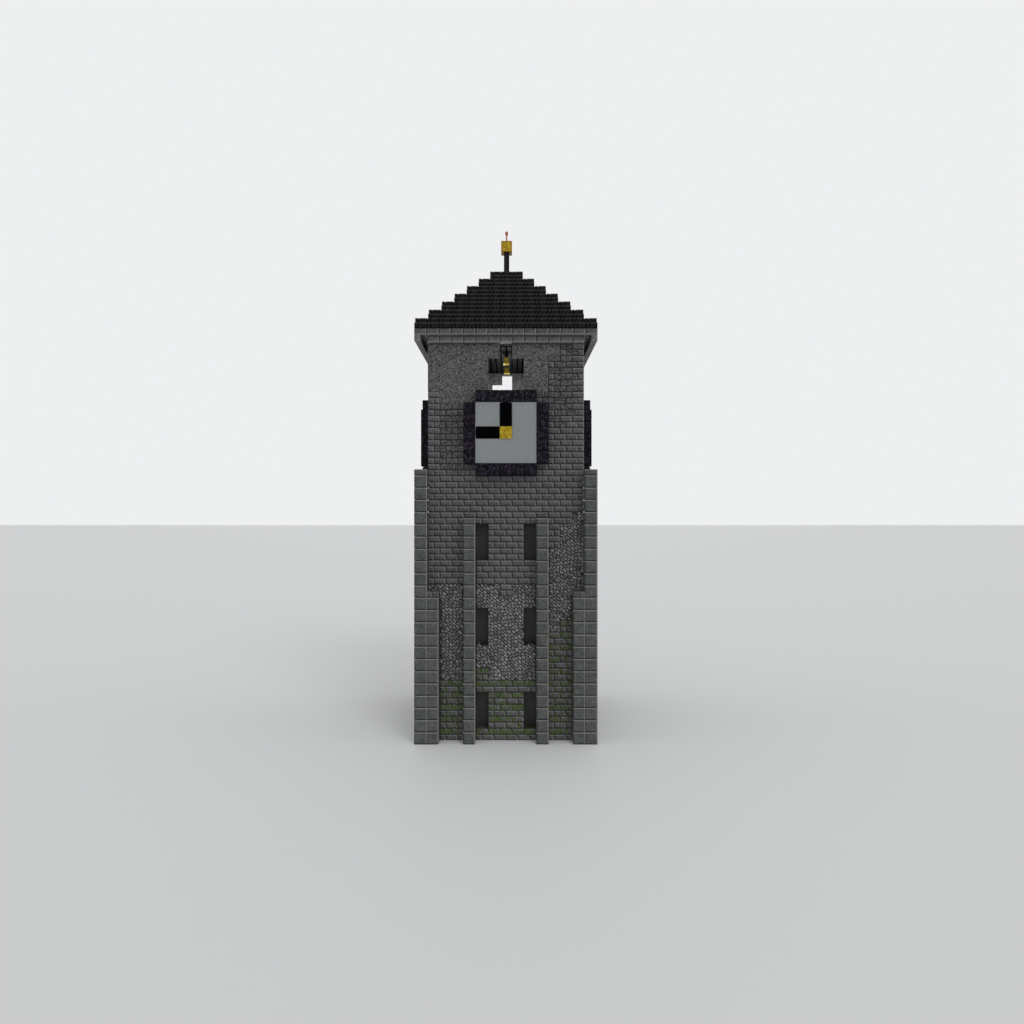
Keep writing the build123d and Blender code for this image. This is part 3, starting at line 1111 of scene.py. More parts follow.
@dataclass
class StoneLayer:
    """Stones of one cut and one finish, laid as points and made by Geometry Nodes."""

    yard: Yard
    name: str
    cut: StoneCut
    finish: StoneFinish
    seed: int
    tone_spread: float = 0.22

    def __post_init__(self) -> None:
        """Start its draws, with no stone laid yet."""
        self.random = Random(self.seed)
        self.middles: list[list[float]] = []
        self.marks: dict[str, list] = {"half_size": [], "tone": [], "moss": []}

    def lay(self, low: Corner, high: Corner, trim_low: Corner = (1, 0, 1), trim_high: Corner = (1, 0, 1),
            tone: float | None = None, moss: float = 0.0, setback: float = 0.0) -> None:
        """Add a stone.

        Args:
            low: its lower corner.
            high: its upper corner.
            trim_low: which of its lower sides leave room for a joint.
            trim_high: which of its upper sides do.
            tone: how light it is, or left to chance.
            moss: how mossy it is.
            setback: the most that chance sets it back from the front.
        """
        tone = chance_tone(self.random, self.tone_spread) if tone is None else tone
        if setback:
            low = (low[0], low[1] + self.random.random() * setback, low[2])
        low = [low[i] + trim_low[i] * self.cut.joint / 2 for i in range(3)]
        high = [high[i] - trim_high[i] * self.cut.joint / 2 for i in range(3)]
        self.middles.append([(low[i] + high[i]) / 2 for i in range(3)])
        half = [(high[i] - low[i]) / 2 for i in range(3)]
        for rows, value in zip(self.marks.values(), (half, tone, moss)):
            rows.append(value)

    def build(self, quarters: int = 0, nodes: tuple[str, ...] = ()) -> None:
        """Cut the stones and place them on their side.

        Args:
            quarters: quarter turns from the front.
            nodes: the nodes that it stands for.
        """
        cut = self.cut
        values = {"Piece": self.yard.blanks[cut.form], "Ease": cut.ease, "Margin": cut.margin,
                  "Sink": cut.sink, "Relief": cut.relief, "Grain": cut.grain, "Seed": float(self.seed),
                  "Finish": self.yard.material(self.finish)}
        mesh = self.yard.stones.grow(self.name, self.middles, self.marks, values)
        self.yard.place(self.name, mesh, self.finish, quarters, nodes)


def pairs(ring: list) -> Iterator[tuple]:
    """Each entry of a ring with the next."""
    return zip(ring, ring[1:] + ring[:1])


def dot(one: complex, other: complex) -> float:
    """The product of two places along each other."""
    return one.real * other.real + one.imag * other.imag


def middle_of(outline: Outline) -> complex:
    """The mean of an outline's corners."""
    return sum(outline) / len(outline)


def box_outline(left: float, right: float, low: float, high: float) -> Outline:
    """A box's outline, counter-clockwise."""
    return [complex(left, low), complex(right, low), complex(right, high), complex(left, high)]


def clip(outline: Outline, normal: complex, limit: float) -> Outline:
    """Keep the part of a convex outline where its product with a normal is under a limit.

    Args:
        outline: the outline, counter-clockwise.
        normal: the way out.
        limit: how far along it.

    Returns:
        What is left of it.
    """
    kept = []
    for here, there in pairs(outline):
        over, next_over = dot(here, normal) - limit, dot(there, normal) - limit
        if over <= 0:
            kept.append(here)
        if over < 0 < next_over or next_over < 0 < over:
            kept.append(here + over / (over - next_over) * (there - here))
    return kept


def area(outline: Outline) -> float:
    """The area of an outline that runs counter-clockwise, or none for less than three corners.

    Args:
        outline: the outline.

    Returns:
        Its area.
    """
    if len(outline) < 3:
        return 0.0
    return sum((here.conjugate() * there).imag for here, there in pairs(outline)) / 2


def inset(outline: Outline, distance: float) -> Outline:
    """A convex outline moved inwards by a distance.

    Args:
        outline: the outline, counter-clockwise.
        distance: how far each side moves.

    Returns:
        The smaller outline.
    """
    moved = outline
    for here, there in pairs(outline):
        if abs(there - here) >= TINY:
            normal = -1j * (there - here) / abs(there - here)
            moved = clip(moved, normal, dot(here, normal) - distance)
    return moved


def soften(outline: Outline) -> Outline:
    """Cut each corner of an outline at a quarter of its sides."""
    return [here * near + there * (1 - near) for here, there in pairs(outline) for near in (0.75, 0.25)]


@dataclass
class Shell:
    """A mesh in the making on one side, with what its points or faces carry."""

    yard: Yard
    side: Side
    name: str
    finish: StoneFinish

    DOMAIN = "FACE"

    def __post_init__(self) -> None:
        """Start with an empty mesh."""
        self.points: list[Corner] = []
        self.faces: list[list[int]] = []
        self.smooth: list[bool] = []
        self.marks: dict[str, list[float]] = defaultdict(list)

    def build(self) -> None:
        """Write the mesh and place it on its side."""
        name = f"{self.side.label}_{self.name}"
        mesh = make_mesh(name, self.points, self.faces, self.smooth)
        for label, values in self.marks.items():
            mark(mesh, label, self.DOMAIN, values)
        self.yard.place(name, mesh, self.finish, self.side.value)


@dataclass
class CarvedLayer(Shell):
    """Stones of free outline on a wall: each is a ring of walls, eased rings and a face; the eased sides
    carry a painted highlight where they face the light and painted shade where they turn away.
    """

    random: Random
    tone_spread: float = 0.25
    lean: float = 0.06
    light: complex = complex(0.5, 0.85)
    gain: float = 1.3

    def add(self, face: list[int], tone: float, arris: float, smooth: bool) -> None:
        """Add a face with its tone and its arris.

        Args:
            face: its points.
            tone: how light it is.
            arris: its arris, from -1 to 1: a painted highlight above zero, painted shade below.
            smooth: whether it is smooth.
        """
        self.faces.append(face)
        self.smooth.append(smooth)
        self.marks["tone"].append(tone)
        self.marks["arris"].append(arris)

    def carve(self, outline: Outline, face: float, rings: list[tuple[float, float]], back: float,
              crown: float) -> None:
        """Add one stone.

        Args:
            outline: its outline, counter-clockwise.
            face: how far from the tower's middle its face is.
            rings: for each ring, its share of the outline and its depth behind the face.
            back: how deep its walls run.
            crown: how far its middle stands before the last ring.
        """
        middle = middle_of(outline)
        tone = chance_tone(self.random, self.tone_spread)
        start, count = len(self.points), len(outline)
        lean = complex(self.random.uniform(-self.lean, self.lean), self.random.uniform(-self.lean, self.lean))
        for share, depth in [(1.0, back)] + rings:
            for corner in outline:
                place = middle + (corner - middle) * share
                self.points.append((place.real, -face + depth + abs(dot(lean, place - middle)), place.imag))
        for ring in range(len(rings)):
            low = start + ring * count
            for index, (here, there) in enumerate(pairs(outline)):
                after = (index + 1) % count
                # Each eased side's arris grows as it faces the light: painted highlight towards it, painted
                # shade away from it
                lit = dot(-1j * (there - here), self.light) / max(abs(there - here), TINY)
                quad = [low + index, low + after, low + count + after, low + count + index]
                self.add(quad, tone, held(self.gain * lit, -1.0) if ring else 0.0, ring > 0)
        last, tip = start + len(rings) * count, len(self.points)
        self.points.append((middle.real, -face + rings[-1][1] - crown, middle.imag))
        for index in range(count):
            self.add([last + index, last + (index + 1) % count, tip], tone, 0.0, True)


@dataclass
class RoughPatch(Shell):
    """A rough-hewn face that runs on from block to block, with its returns and its inner face."""

    numbers: dict[tuple, int] = field(default_factory=dict)
    fine: int = 20
    coarse: int = 4
    key_parts: int = 8
    depth: float = 0.034
    fade: float = 0.05
    side_shift: float = 20.0
    base: float = 0.36
    shares: Corner = (0.55, 0.24, 0.4)
    rear_tone: tuple[float, float] = (0.5, 0.4)
    rear_scale: int = 9
    rear_place: float = 2.0

    # Each noise's scales across and up, for its first and its second axis, then its place on the third
    chips: tuple = ((17, 11), (-6, 19), 1.7)
    ridges: tuple = ((12, 11), (-9, 13), 6.3)
    pits: tuple = ((37, 0), (0, 37), 3.1)

    DOMAIN = "POINT"

    @staticmethod
    def read(scales: tuple, run: float, level: float) -> float:
        """One of the noises at a place.

        Args:
            scales: the noise's scales and its place.
            run: how far across.
            level: how far up.

        Returns:
            Its value.
        """
        first, second, third = scales
        steps = [run * along + level * up for along, up in (first, second)]
        return noise.noise(Vector((*steps, third)))

    def height(self, across: float, level: float) -> float:
        """How proud the face is at a place, from 0 in its hollows to 1 on its crests.

        Args:
            across: how far across.
            level: how far up.

        Returns:
            The height.
        """
        run = across + self.side_shift * self.side.value
        noises = (self.chips, self.ridges, self.pits)
        chips, folds, pits = (self.read(scales, run, level) for scales in noises)
        parts = zip(self.shares, (chips, 1 - 2 * abs(folds), pits))
        return held(sum((share * part for share, part in parts), self.base))

    def number(self, key: tuple, place: Corner, tone: float) -> int:
        """The number of a new point.

        Args:
            key: its face and its place on the grid.
            place: where it is.
            tone: how light it is.

        Returns:
            Its number.
        """
        self.numbers[key] = len(self.points)
        self.points.append(place)
        self.marks["tone"].append(tone)
        return self.numbers[key]

    def front(self, i: int, j: int) -> int:
        """The number of a point of the outer face, by its place on the fine grid.

        Args:
            i: its column.
            j: its row.

        Returns:
            Its number.
        """
        if (False, i, j) in self.numbers:
            return self.numbers[False, i, j]
        step = self.yard.block / self.fine
        across, level = self.yard.column(1) + i * step, j * step
        proud = self.height(across, level)
        edge = min(1.0, (self.yard.wall - abs(across)) / self.fade)
        place = (across, -self.yard.wall + self.depth * (1 - proud) * edge, level)
        # The point's tone is its height: the finish paints shade in the hollows and a highlight on the crests
        return self.number((False, i, j), place, proud)

    def rear(self, i: int, j: int) -> int:
        """The number of a point of the inner face; it stops at the inner corner of the walls.

        Args:
            i: its column.
            j: its row.

        Returns:
            Its number.
        """
        step = self.yard.block / self.coarse
        reach = self.yard.wall - self.yard.block
        across = held(self.yard.column(1) + i * step, -reach, reach)
        key = (True, round(across / step * self.key_parts), j)
        if key in self.numbers:
            return self.numbers[key]
        middle, spread = self.rear_tone
        spot = Vector((across * self.rear_scale, self.rear_place, j * step * self.rear_scale))
        tone = middle + spread * noise.noise(spot)
        return self.number(key, (across, -reach, j * step), tone)

    def add(self, ring: list[int], smooth: bool) -> None:
        """Add a face, without the points that it would hold twice.

        Args:
            ring: the face's points.
            smooth: whether it is smooth.
        """
        ring = list(dict.fromkeys(ring))
        if len(ring) > 2:
            self.faces.append(ring)
            self.smooth.append(smooth)

    def fill(self, blocks: set[tuple[int, int]]) -> None:
        """Add each block's outer and inner face, and a return beside blocks of another kind.

        Args:
            blocks: their columns and rows.
        """
        for column, row in sorted(blocks):
            self.add_grid(self.front, self.fine, column, row, True)
            if column not in CORNER_COLUMNS:
                self.add_grid(self.rear, self.coarse, column, row, False)
            for across, up in ((-1, 0), (1, 0), (0, -1), (0, 1)):
                if (column + across, row + up) not in blocks:
                    self.add_return(column, row, across, up)

    def add_grid(self, grid: Callable, cells: int, column: int, row: int, outwards: bool) -> None:
        """Add a block's outer or inner face.

        Args:
            grid: what numbers the face's points.
            cells: cells across a block.
            column: the block's column.
            row: its row.
            outwards: whether it is the outer face.
        """
        for i in range((column - 1) * cells, column * cells):
            for j in range(row * cells, (row + 1) * cells):
                ring = [grid(i, j), grid(i + 1, j), grid(i + 1, j + 1), grid(i, j + 1)]
                self.add(ring if outwards else ring[::-1], outwards)

    def add_return(self, column: int, row: int, across: int, up: int) -> None:
        """Close one edge of a block from its outer face to its inner face.

        Args:
            column: the block's column.
            row: its row.
            across: 1 for its right edge, -1 for its left.
            up: 1 for its top, -1 for its foot.
        """

        def edge(grid: Callable, cells: int, along: int) -> int:
            """A point of the edge on one of the faces.

            Args:
                grid: what numbers the face's points.
                cells: cells across a block.
                along: cells along the edge.

            Returns:
                Its number.
            """
            if up:
                return grid((column - 1) * cells + along, (row + (up > 0)) * cells)
            return grid((column - 1 + (across > 0)) * cells, row * cells + along)

        ratio = self.fine // self.coarse
        for step in range(self.coarse):
            ring = [edge(self.front, self.fine, step * ratio + part) for part in range(ratio + 1)]
            ring += [edge(self.rear, self.coarse, along) for along in (step + 1, step)]
            self.add(ring[::-1] if up < 0 or across > 0 else ring, False)


@dataclass
class Bricks:
    """The bricks of one side in half-block courses; the corner bricks turn the corner in turns."""

    yard: Yard
    side: Side
    cut: StoneCut = StoneCut(StoneForm.HEWN, 0.03, 0.007, 0.038, 0.002, 0.006, 9.0)
    setback: float = 0.004
    shortest_cracked: float = 0.6
    mossy: tuple[tuple[float, float], ...] = ((0.15, 0.45), (0.5, 0.8))
    crack: float = 0.011
    crumb: float = 0.0006
    small: float = 0.008
    lost: float = 0.4
    chipped: float = 0.7
    rings: tuple[tuple[float, float], ...] = ((1.0, 0.008), (0.96, 0.002), (0.72, 0.0))
    cuts: tuple[int, ...] = (2, 2, 3, 4)
    off_middle: tuple[float, float] = (0.04, 0.02)
    tilt: float = 0.9
    sinks: tuple[float, ...] = (0.0, 0.003, 0.008, 0.016)
    chip_depth: tuple[float, float] = (0.02, 0.05)
    seeds: tuple[int, int, int] = (11, 21, 31)

    def build(self) -> None:
        """Lay the bricks and build them."""
        label, quarters, brick = self.side.label, self.side.value, Finishes.brick
        corner_cut = replace(self.cut, form=StoneForm.MARGINED)
        whole, corner, broken = self.seeds
        self.whole = StoneLayer(self.yard, f"{label}_bricks", self.cut, brick, whole + quarters)
        self.corner = StoneLayer(self.yard, f"{label}_corner_bricks", corner_cut, brick, corner + quarters)
        self.broken = CarvedLayer(self.yard, self.side, "cracked_bricks", brick, Random(broken + quarters))
        for row, half in product(range(WALL_ROWS), (0, 1)):
            self.lay_course(row, half)
        self.whole.build(quarters)
        self.corner.build(quarters)
        self.broken.build()

    def lay_course(self, row: int, half: int) -> None:
        """Lay one course, whose bricks lie on a block or on the halves of two.

        Args:
            row: its row of blocks.
            half: 0 for the lower course, 1 for the upper.
        """
        shift = int((half == 1) == self.side.mirrored)
        for left in range(1, WALL_COLUMNS + 1 - shift):
            kinds = [facing(self.side, column, row) for column in range(left, left + shift + 1)]
            kept = [kind.is_brick or kind is Facing.JAMB for kind in kinds]
            under_cap = (row == PILASTER_ROWS and left in PILASTER_COLUMNS
                         or row == FLANK_ROWS and left in CORNER_COLUMNS)
            if not any(kept) or under_cap and not shift and not half:
                continue
            start = self.yard.column(left) + shift * self.yard.block / 2
            end = start + self.yard.block
            middle = (start + end) / 2
            start, end = start if kept[0] else middle, end if kept[-1] else middle
            kind = next((kind for kind in kinds if kind.is_brick), Facing.BRICK)
            self.lay_brick(kind, start, end, row, half)

    def lay_brick(self, kind: Facing, start: float, end: float, row: int, half: int) -> None:
        """Lay one brick, whole or in broken pieces.

        Args:
            kind: the brick's facing.
            start: its left end.
            end: its right end.
            row: its row of blocks.
            half: 0 for the lower course, 1 for the upper.
        """
        block, edge = self.yard.block, self.yard.wall
        low = (row + half / 2) * block
        high = low + block / 2
        at_left, at_right = start <= -edge + TINY, end >= edge - TINY
        at_corner = at_left or at_right
        layer = self.corner if at_corner else self.whole
        moss = layer.random.uniform(*self.mossy[half]) if kind is Facing.MOSSY else 0.0
        if kind is Facing.CRACKED and not at_corner and end - start > block * self.shortest_cracked:
            self.break_brick(start, end, low, high)
            return
        back = -edge + (block / 2 if at_corner else block)
        layer.lay((start, -edge, low), (end, back, high), (not at_left, 0, 1), (not at_right, 0, 1),
                  moss=moss, setback=self.setback)

    def break_brick(self, start: float, end: float, low: float, high: float) -> None:
        """Cut a brick's face into pieces along uneven cracks, and lose or chip some of them.

        Args:
            start: the brick's left end.
            end: its right end.
            low: its foot.
            high: its top.
        """
        random, gap = self.broken.random, self.cut.joint / 2
        pieces = [box_outline(start + gap, end - gap, low + gap, high - gap)]
        across, up = self.off_middle
        for _ in range(random.choice(self.cuts)):
            widest = max(pieces, key=area)
            pieces.remove(widest)
            middle = middle_of(widest) + complex(random.uniform(-across, across), random.uniform(-up, up))
            turn = random.uniform(-self.tilt, self.tilt) + random.choice((0.0, 0.0, pi / 2))
            normal = complex(cos(turn), sin(turn))
            limit = dot(middle, normal)
            pieces += [clip(widest, normal, limit), clip(widest, -normal, -limit)]
        for piece in pieces:
            shrunk = inset(piece, self.crack)
            if area(shrunk) < self.crumb:
                continue
            sunk = random.choice(self.sinks)
            if area(piece) < self.small and random.random() < self.lost:
                continue
            if random.random() < self.chipped:
                shrunk = self.chip(shrunk, random)
            self.broken.carve(shrunk, self.yard.wall - sunk, list(self.rings), self.yard.block, 0.0)

    def chip(self, outline: Outline, random: Random) -> Outline:
        """Knock one corner off an outline.

        Args:
            outline: the outline.
            random: the draws.

        Returns:
            What is left of it.
        """
        corner = random.choice(outline)
        away = corner - middle_of(outline)
        normal = away / max(abs(away), TINY)
        return clip(outline, normal, dot(corner, normal) - random.uniform(*self.chip_depth))


@dataclass
class Cobbles:
    """Uneven domed stones that fill the cobbled zones of one side and lean one way."""

    yard: Yard
    side: Side
    size: float = 0.145
    stretch: float = 1.8 ** 0.5
    lean: float = 42.0
    jitter: float = 0.36
    gap: float = 0.011
    depth: float = 0.09
    rings: tuple[tuple[float, float], ...] = ((0.97, 0.022), (0.72, 0.003))
    crown: float = 0.002
    sinks: tuple[float, ...] = (0.0, 0.0, 0.004, 0.012)
    smallest: float = 0.0008
    smallest_cell: float = 0.002
    zone_top: float = 11.0
    beyond: float = 1.0
    spread: float = 14.0
    reach: int = 3
    touch: float = 0.01
    hair: float = 1e-9
    seed: int = 71

    def build(self) -> None:
        """Carve a stone in each cell."""
        turn = radians(self.lean if self.side.mirrored else -self.lean)
        self.axis = complex(cos(turn), sin(turn))
        random = Random(self.seed + self.side.value)
        layer = CarvedLayer(self.yard, self.side, "cobbles", Finishes.cobble, random)
        for outline in self.cells(random):
            shrunk = inset(outline, self.gap)
            if area(shrunk) < self.smallest:
                continue
            deep = self.yard.block if self.beside_window(outline) else self.depth
            sunk = random.choice(self.sinks)
            layer.carve(soften(shrunk), self.yard.wall - sunk, list(self.rings), deep, self.crown)
        layer.build()

    def block_at(self, place: complex) -> tuple[int, int]:
        """The column and the row of the block at a place."""
        column = floor((place.real + self.yard.wall) / self.yard.block + self.hair) + 1
        return column, floor(place.imag / self.yard.block + self.hair)

    def beside_window(self, outline: Outline) -> bool:
        """Whether an outline touches a window.

        Args:
            outline: the outline.

        Returns:
            Whether it does.
        """
        shifts = [self.touch * way for way in (-1, 1, -1j, 1j)]
        return any(facing(self.side, *self.block_at(place + shift)) is Facing.OPEN
                   for place in outline for shift in shifts)

    def slant(self, place: complex) -> complex:
        """A place on the wall in the slanted measure."""
        turned = place * self.axis.conjugate()
        return complex(turned.real / self.stretch, turned.imag * self.stretch)

    def sites(self, random: Random) -> dict[tuple[int, int], complex]:
        """Jittered places round which the cobbles lie, by their numbers along the slant.

        Args:
            random: the draws.

        Returns:
            The places by their numbers.
        """
        found = {}
        reach = int(self.spread / self.size)
        for i, j in product(range(-reach, reach), repeat=2):
            along = random.uniform(-self.jitter, self.jitter)
            across = random.uniform(-self.jitter, self.jitter)
            slanted = complex((i + along + 0.5 * (j % 2)) * self.size, (j + across) * self.size)
            place = complex(slanted.real * self.stretch, slanted.imag / self.stretch) * self.axis
            if abs(place.real) < self.yard.wall + self.beyond and -self.beyond < place.imag < self.zone_top:
                found[i, j] = place
        return found

    def cells(self, random: Random) -> Iterator[Outline]:
        """The cobbles' outlines: what is nearer to a site than to its neighbours.

        Args:
            random: the draws.

        Returns:
            The outlines.
        """
        sites = self.sites(random)
        wide = self.reach * self.size * self.stretch
        steps = range(-self.reach, self.reach + 1)
        for (i, j), site in sites.items():
            if facing(self.side, *self.block_at(site)) is not Facing.COBBLE:
                continue
            outline = box_outline(site.real - wide, site.real + wide, site.imag - wide, site.imag + wide)
            home = self.slant(site)
            for di, dj in product(steps, repeat=2):
                other = sites.get((i + di, j + dj))
                if other is not None and (di or dj):
                    there = self.slant(other)
                    pull = there - home
                    normal = complex(pull.real / self.stretch, pull.imag * self.stretch) * self.axis
                    outline = clip(outline, normal, (dot(there, there) - dot(home, home)) / 2)
            outline = clip(clip(outline, 1, self.yard.wall), -1, self.yard.wall)
            outline = self.keep_in_zone(outline, site)
            if area(outline) > self.smallest_cell:
                yield outline

    def keep_in_zone(self, outline: Outline, site: complex) -> Outline:
        """Clip an outline against each block near it that isn't cobbled, losing as little as it can.

        Args:
            outline: a cobble's outline.
            site: its place.

        Returns:
            What is left of it.
        """
        block = self.yard.block
        home_column, home_row = self.block_at(site)
        around = ((0, 1), (0, -1), (1, 0), (-1, 0), (1, 1), (1, -1), (-1, 1), (-1, -1))
        for column, row in ((home_column + across, home_row + up) for across, up in around):
            if facing(self.side, column, row) is Facing.COBBLE:
                continue
            left, low = self.yard.column(column), row * block
            sides = ((1, left + block), (-1, -left), (1j, low + block), (-1j, -low))
            overlap = outline
            for normal, limit in sides:
                overlap = clip(overlap, normal, limit)
            if area(overlap) >= TINY:
                outline = max((clip(outline, -normal, -limit) for normal, limit in sides), key=area)
        return outline


@dataclass
class MossPatch:
    """Tufts of moss on the bricks at the foot of one side, thicker on each block's upper course."""

    yard: Yard
    side: Side
    spacing: float = 0.055
    clump: float = 8.0
    limits: tuple[float, float] = (0.42, 0.2)
    joint_gap: float = 0.03
    ground_gap: float = 0.08
    corner_gap: float = 0.05
    width: tuple[float, float] = (0.026, 0.05)
    height: tuple[float, float] = (0.010, 0.020)
    seat: float = 0.004
    relief: float = 0.012
    grain: float = 35.0
    ring: int = 6
    rings: tuple[Corner, ...] = ((1.0, 0.4, 0.0), (0.74, -0.62, 0.5))
    roundness: tuple[float, float] = (0.6, 1.0)
    tilt: float = 0.5
    tone_spread: float = 0.25
    within: tuple[float, float] = (0.1, 0.9)
    side_shift: float = 40.0
    seed: int = 301

    def tuft(self) -> bpy.types.Object:
        """A low dome that looks out of the front: a foot ring, a shoulder ring and a tip.

        Returns:
            The tuft.
        """
        places: list[Corner] = []
        for radius, depth, turn in self.rings:
            for step in range(self.ring):
                angle = 2 * pi * (step + turn) / self.ring
                places.append((radius * cos(angle), depth, radius * sin(angle)))
        places.append((0.0, -1.0, 0.0))
        faces = []
        for step, after in pairs(list(range(self.ring))):
            faces += [(step, after, self.ring + step), (after, self.ring + after, self.ring + step),
                      (self.ring + step, self.ring + after, 2 * self.ring)]
        return bpy.data.objects.new("tuft", make_mesh("tuft", places, faces, [True] * len(faces)))

    def build(self) -> None:
        """Sow the tufts and make them."""
        random = Random(self.seed + self.side.value)
        places: list[Corner] = []
        marks: dict[str, list] = {"size": [], "turn": [], "tone": []}
        for column, row in product(range(1, WALL_COLUMNS + 1), range(WALL_ROWS)):
            if facing(self.side, column, row) is not Facing.MOSSY:
                continue
            for across, level in list(self.sow(random, column, row)):
                wide = random.uniform(*self.width)
                places.append((across, -self.yard.wall + self.seat, level))
                high = random.uniform(*self.height)
                marks["size"].append((wide, high, wide * random.uniform(*self.roundness)))
                marks["turn"].append((0.0, random.uniform(-self.tilt, self.tilt), 0.0))
                marks["tone"].append(chance_tone(random, self.tone_spread))
        finish = Finishes.tufts
        values = {"Piece": self.tuft(), "Relief": self.relief, "Grain": self.grain,
                  "Seed": float(self.side.value), "Finish": self.yard.material(finish)}
        name = f"{self.side.label}_moss"
        mesh = self.yard.tufts.grow(name, places, marks, values)
        self.yard.place(name, mesh, finish, self.side.value)

    def sow(self, random: Random, column: int, row: int) -> Iterator[tuple[float, float]]:
        """Places of the tufts on one block.

        Args:
            random: the draws.
            column: the block's column.
            row: its row.

        Returns:
            The places.
        """
        half = self.yard.block / 2
        steps = range(round(self.yard.block / self.spacing))
        for i, j in product(steps, repeat=2):
            across = self.yard.column(column) + (i + random.uniform(*self.within)) * self.spacing
            rise = (j + random.uniform(*self.within)) * self.spacing
            level = row * self.yard.block + rise
            place = Vector((across * self.clump, self.side_shift * self.side.value, level * self.clump))
            inside = self.joint_gap < rise % half < half - self.joint_gap
            clear = level > self.ground_gap and abs(across) < self.yard.wall - self.corner_gap
            if inside and clear and noise.noise(place) > self.limits[rise > half]:
                yield across, level


@dataclass
class WallFacing:
    """The core of one side's wall and all its facings."""

    yard: Yard
    side: Side
    core_depth: float = 0.03
    rough_from: int = 28

    def build(self) -> None:
        """Build the core, bricks, rough stone, cobbles and moss."""
        lapped = 1 if self.side.mirrored else None
        self.yard.core(f"{self.side.label}_wall", self.core_depth, Finishes.mortar, lapped)
        Bricks(self.yard, self.side).build()
        rough = {(column, row) for row in range(self.rough_from, WALL_ROWS)
                 for column in range(1, WALL_COLUMNS + 1) if facing(self.side, column, row) is Facing.ROUGH}
        patch = RoughPatch(self.yard, self.side, "rough_stone", Finishes.rough)
        patch.fill(rough)
        patch.build()
        Cobbles(self.yard, self.side).build()
        MossPatch(self.yard, self.side).build()


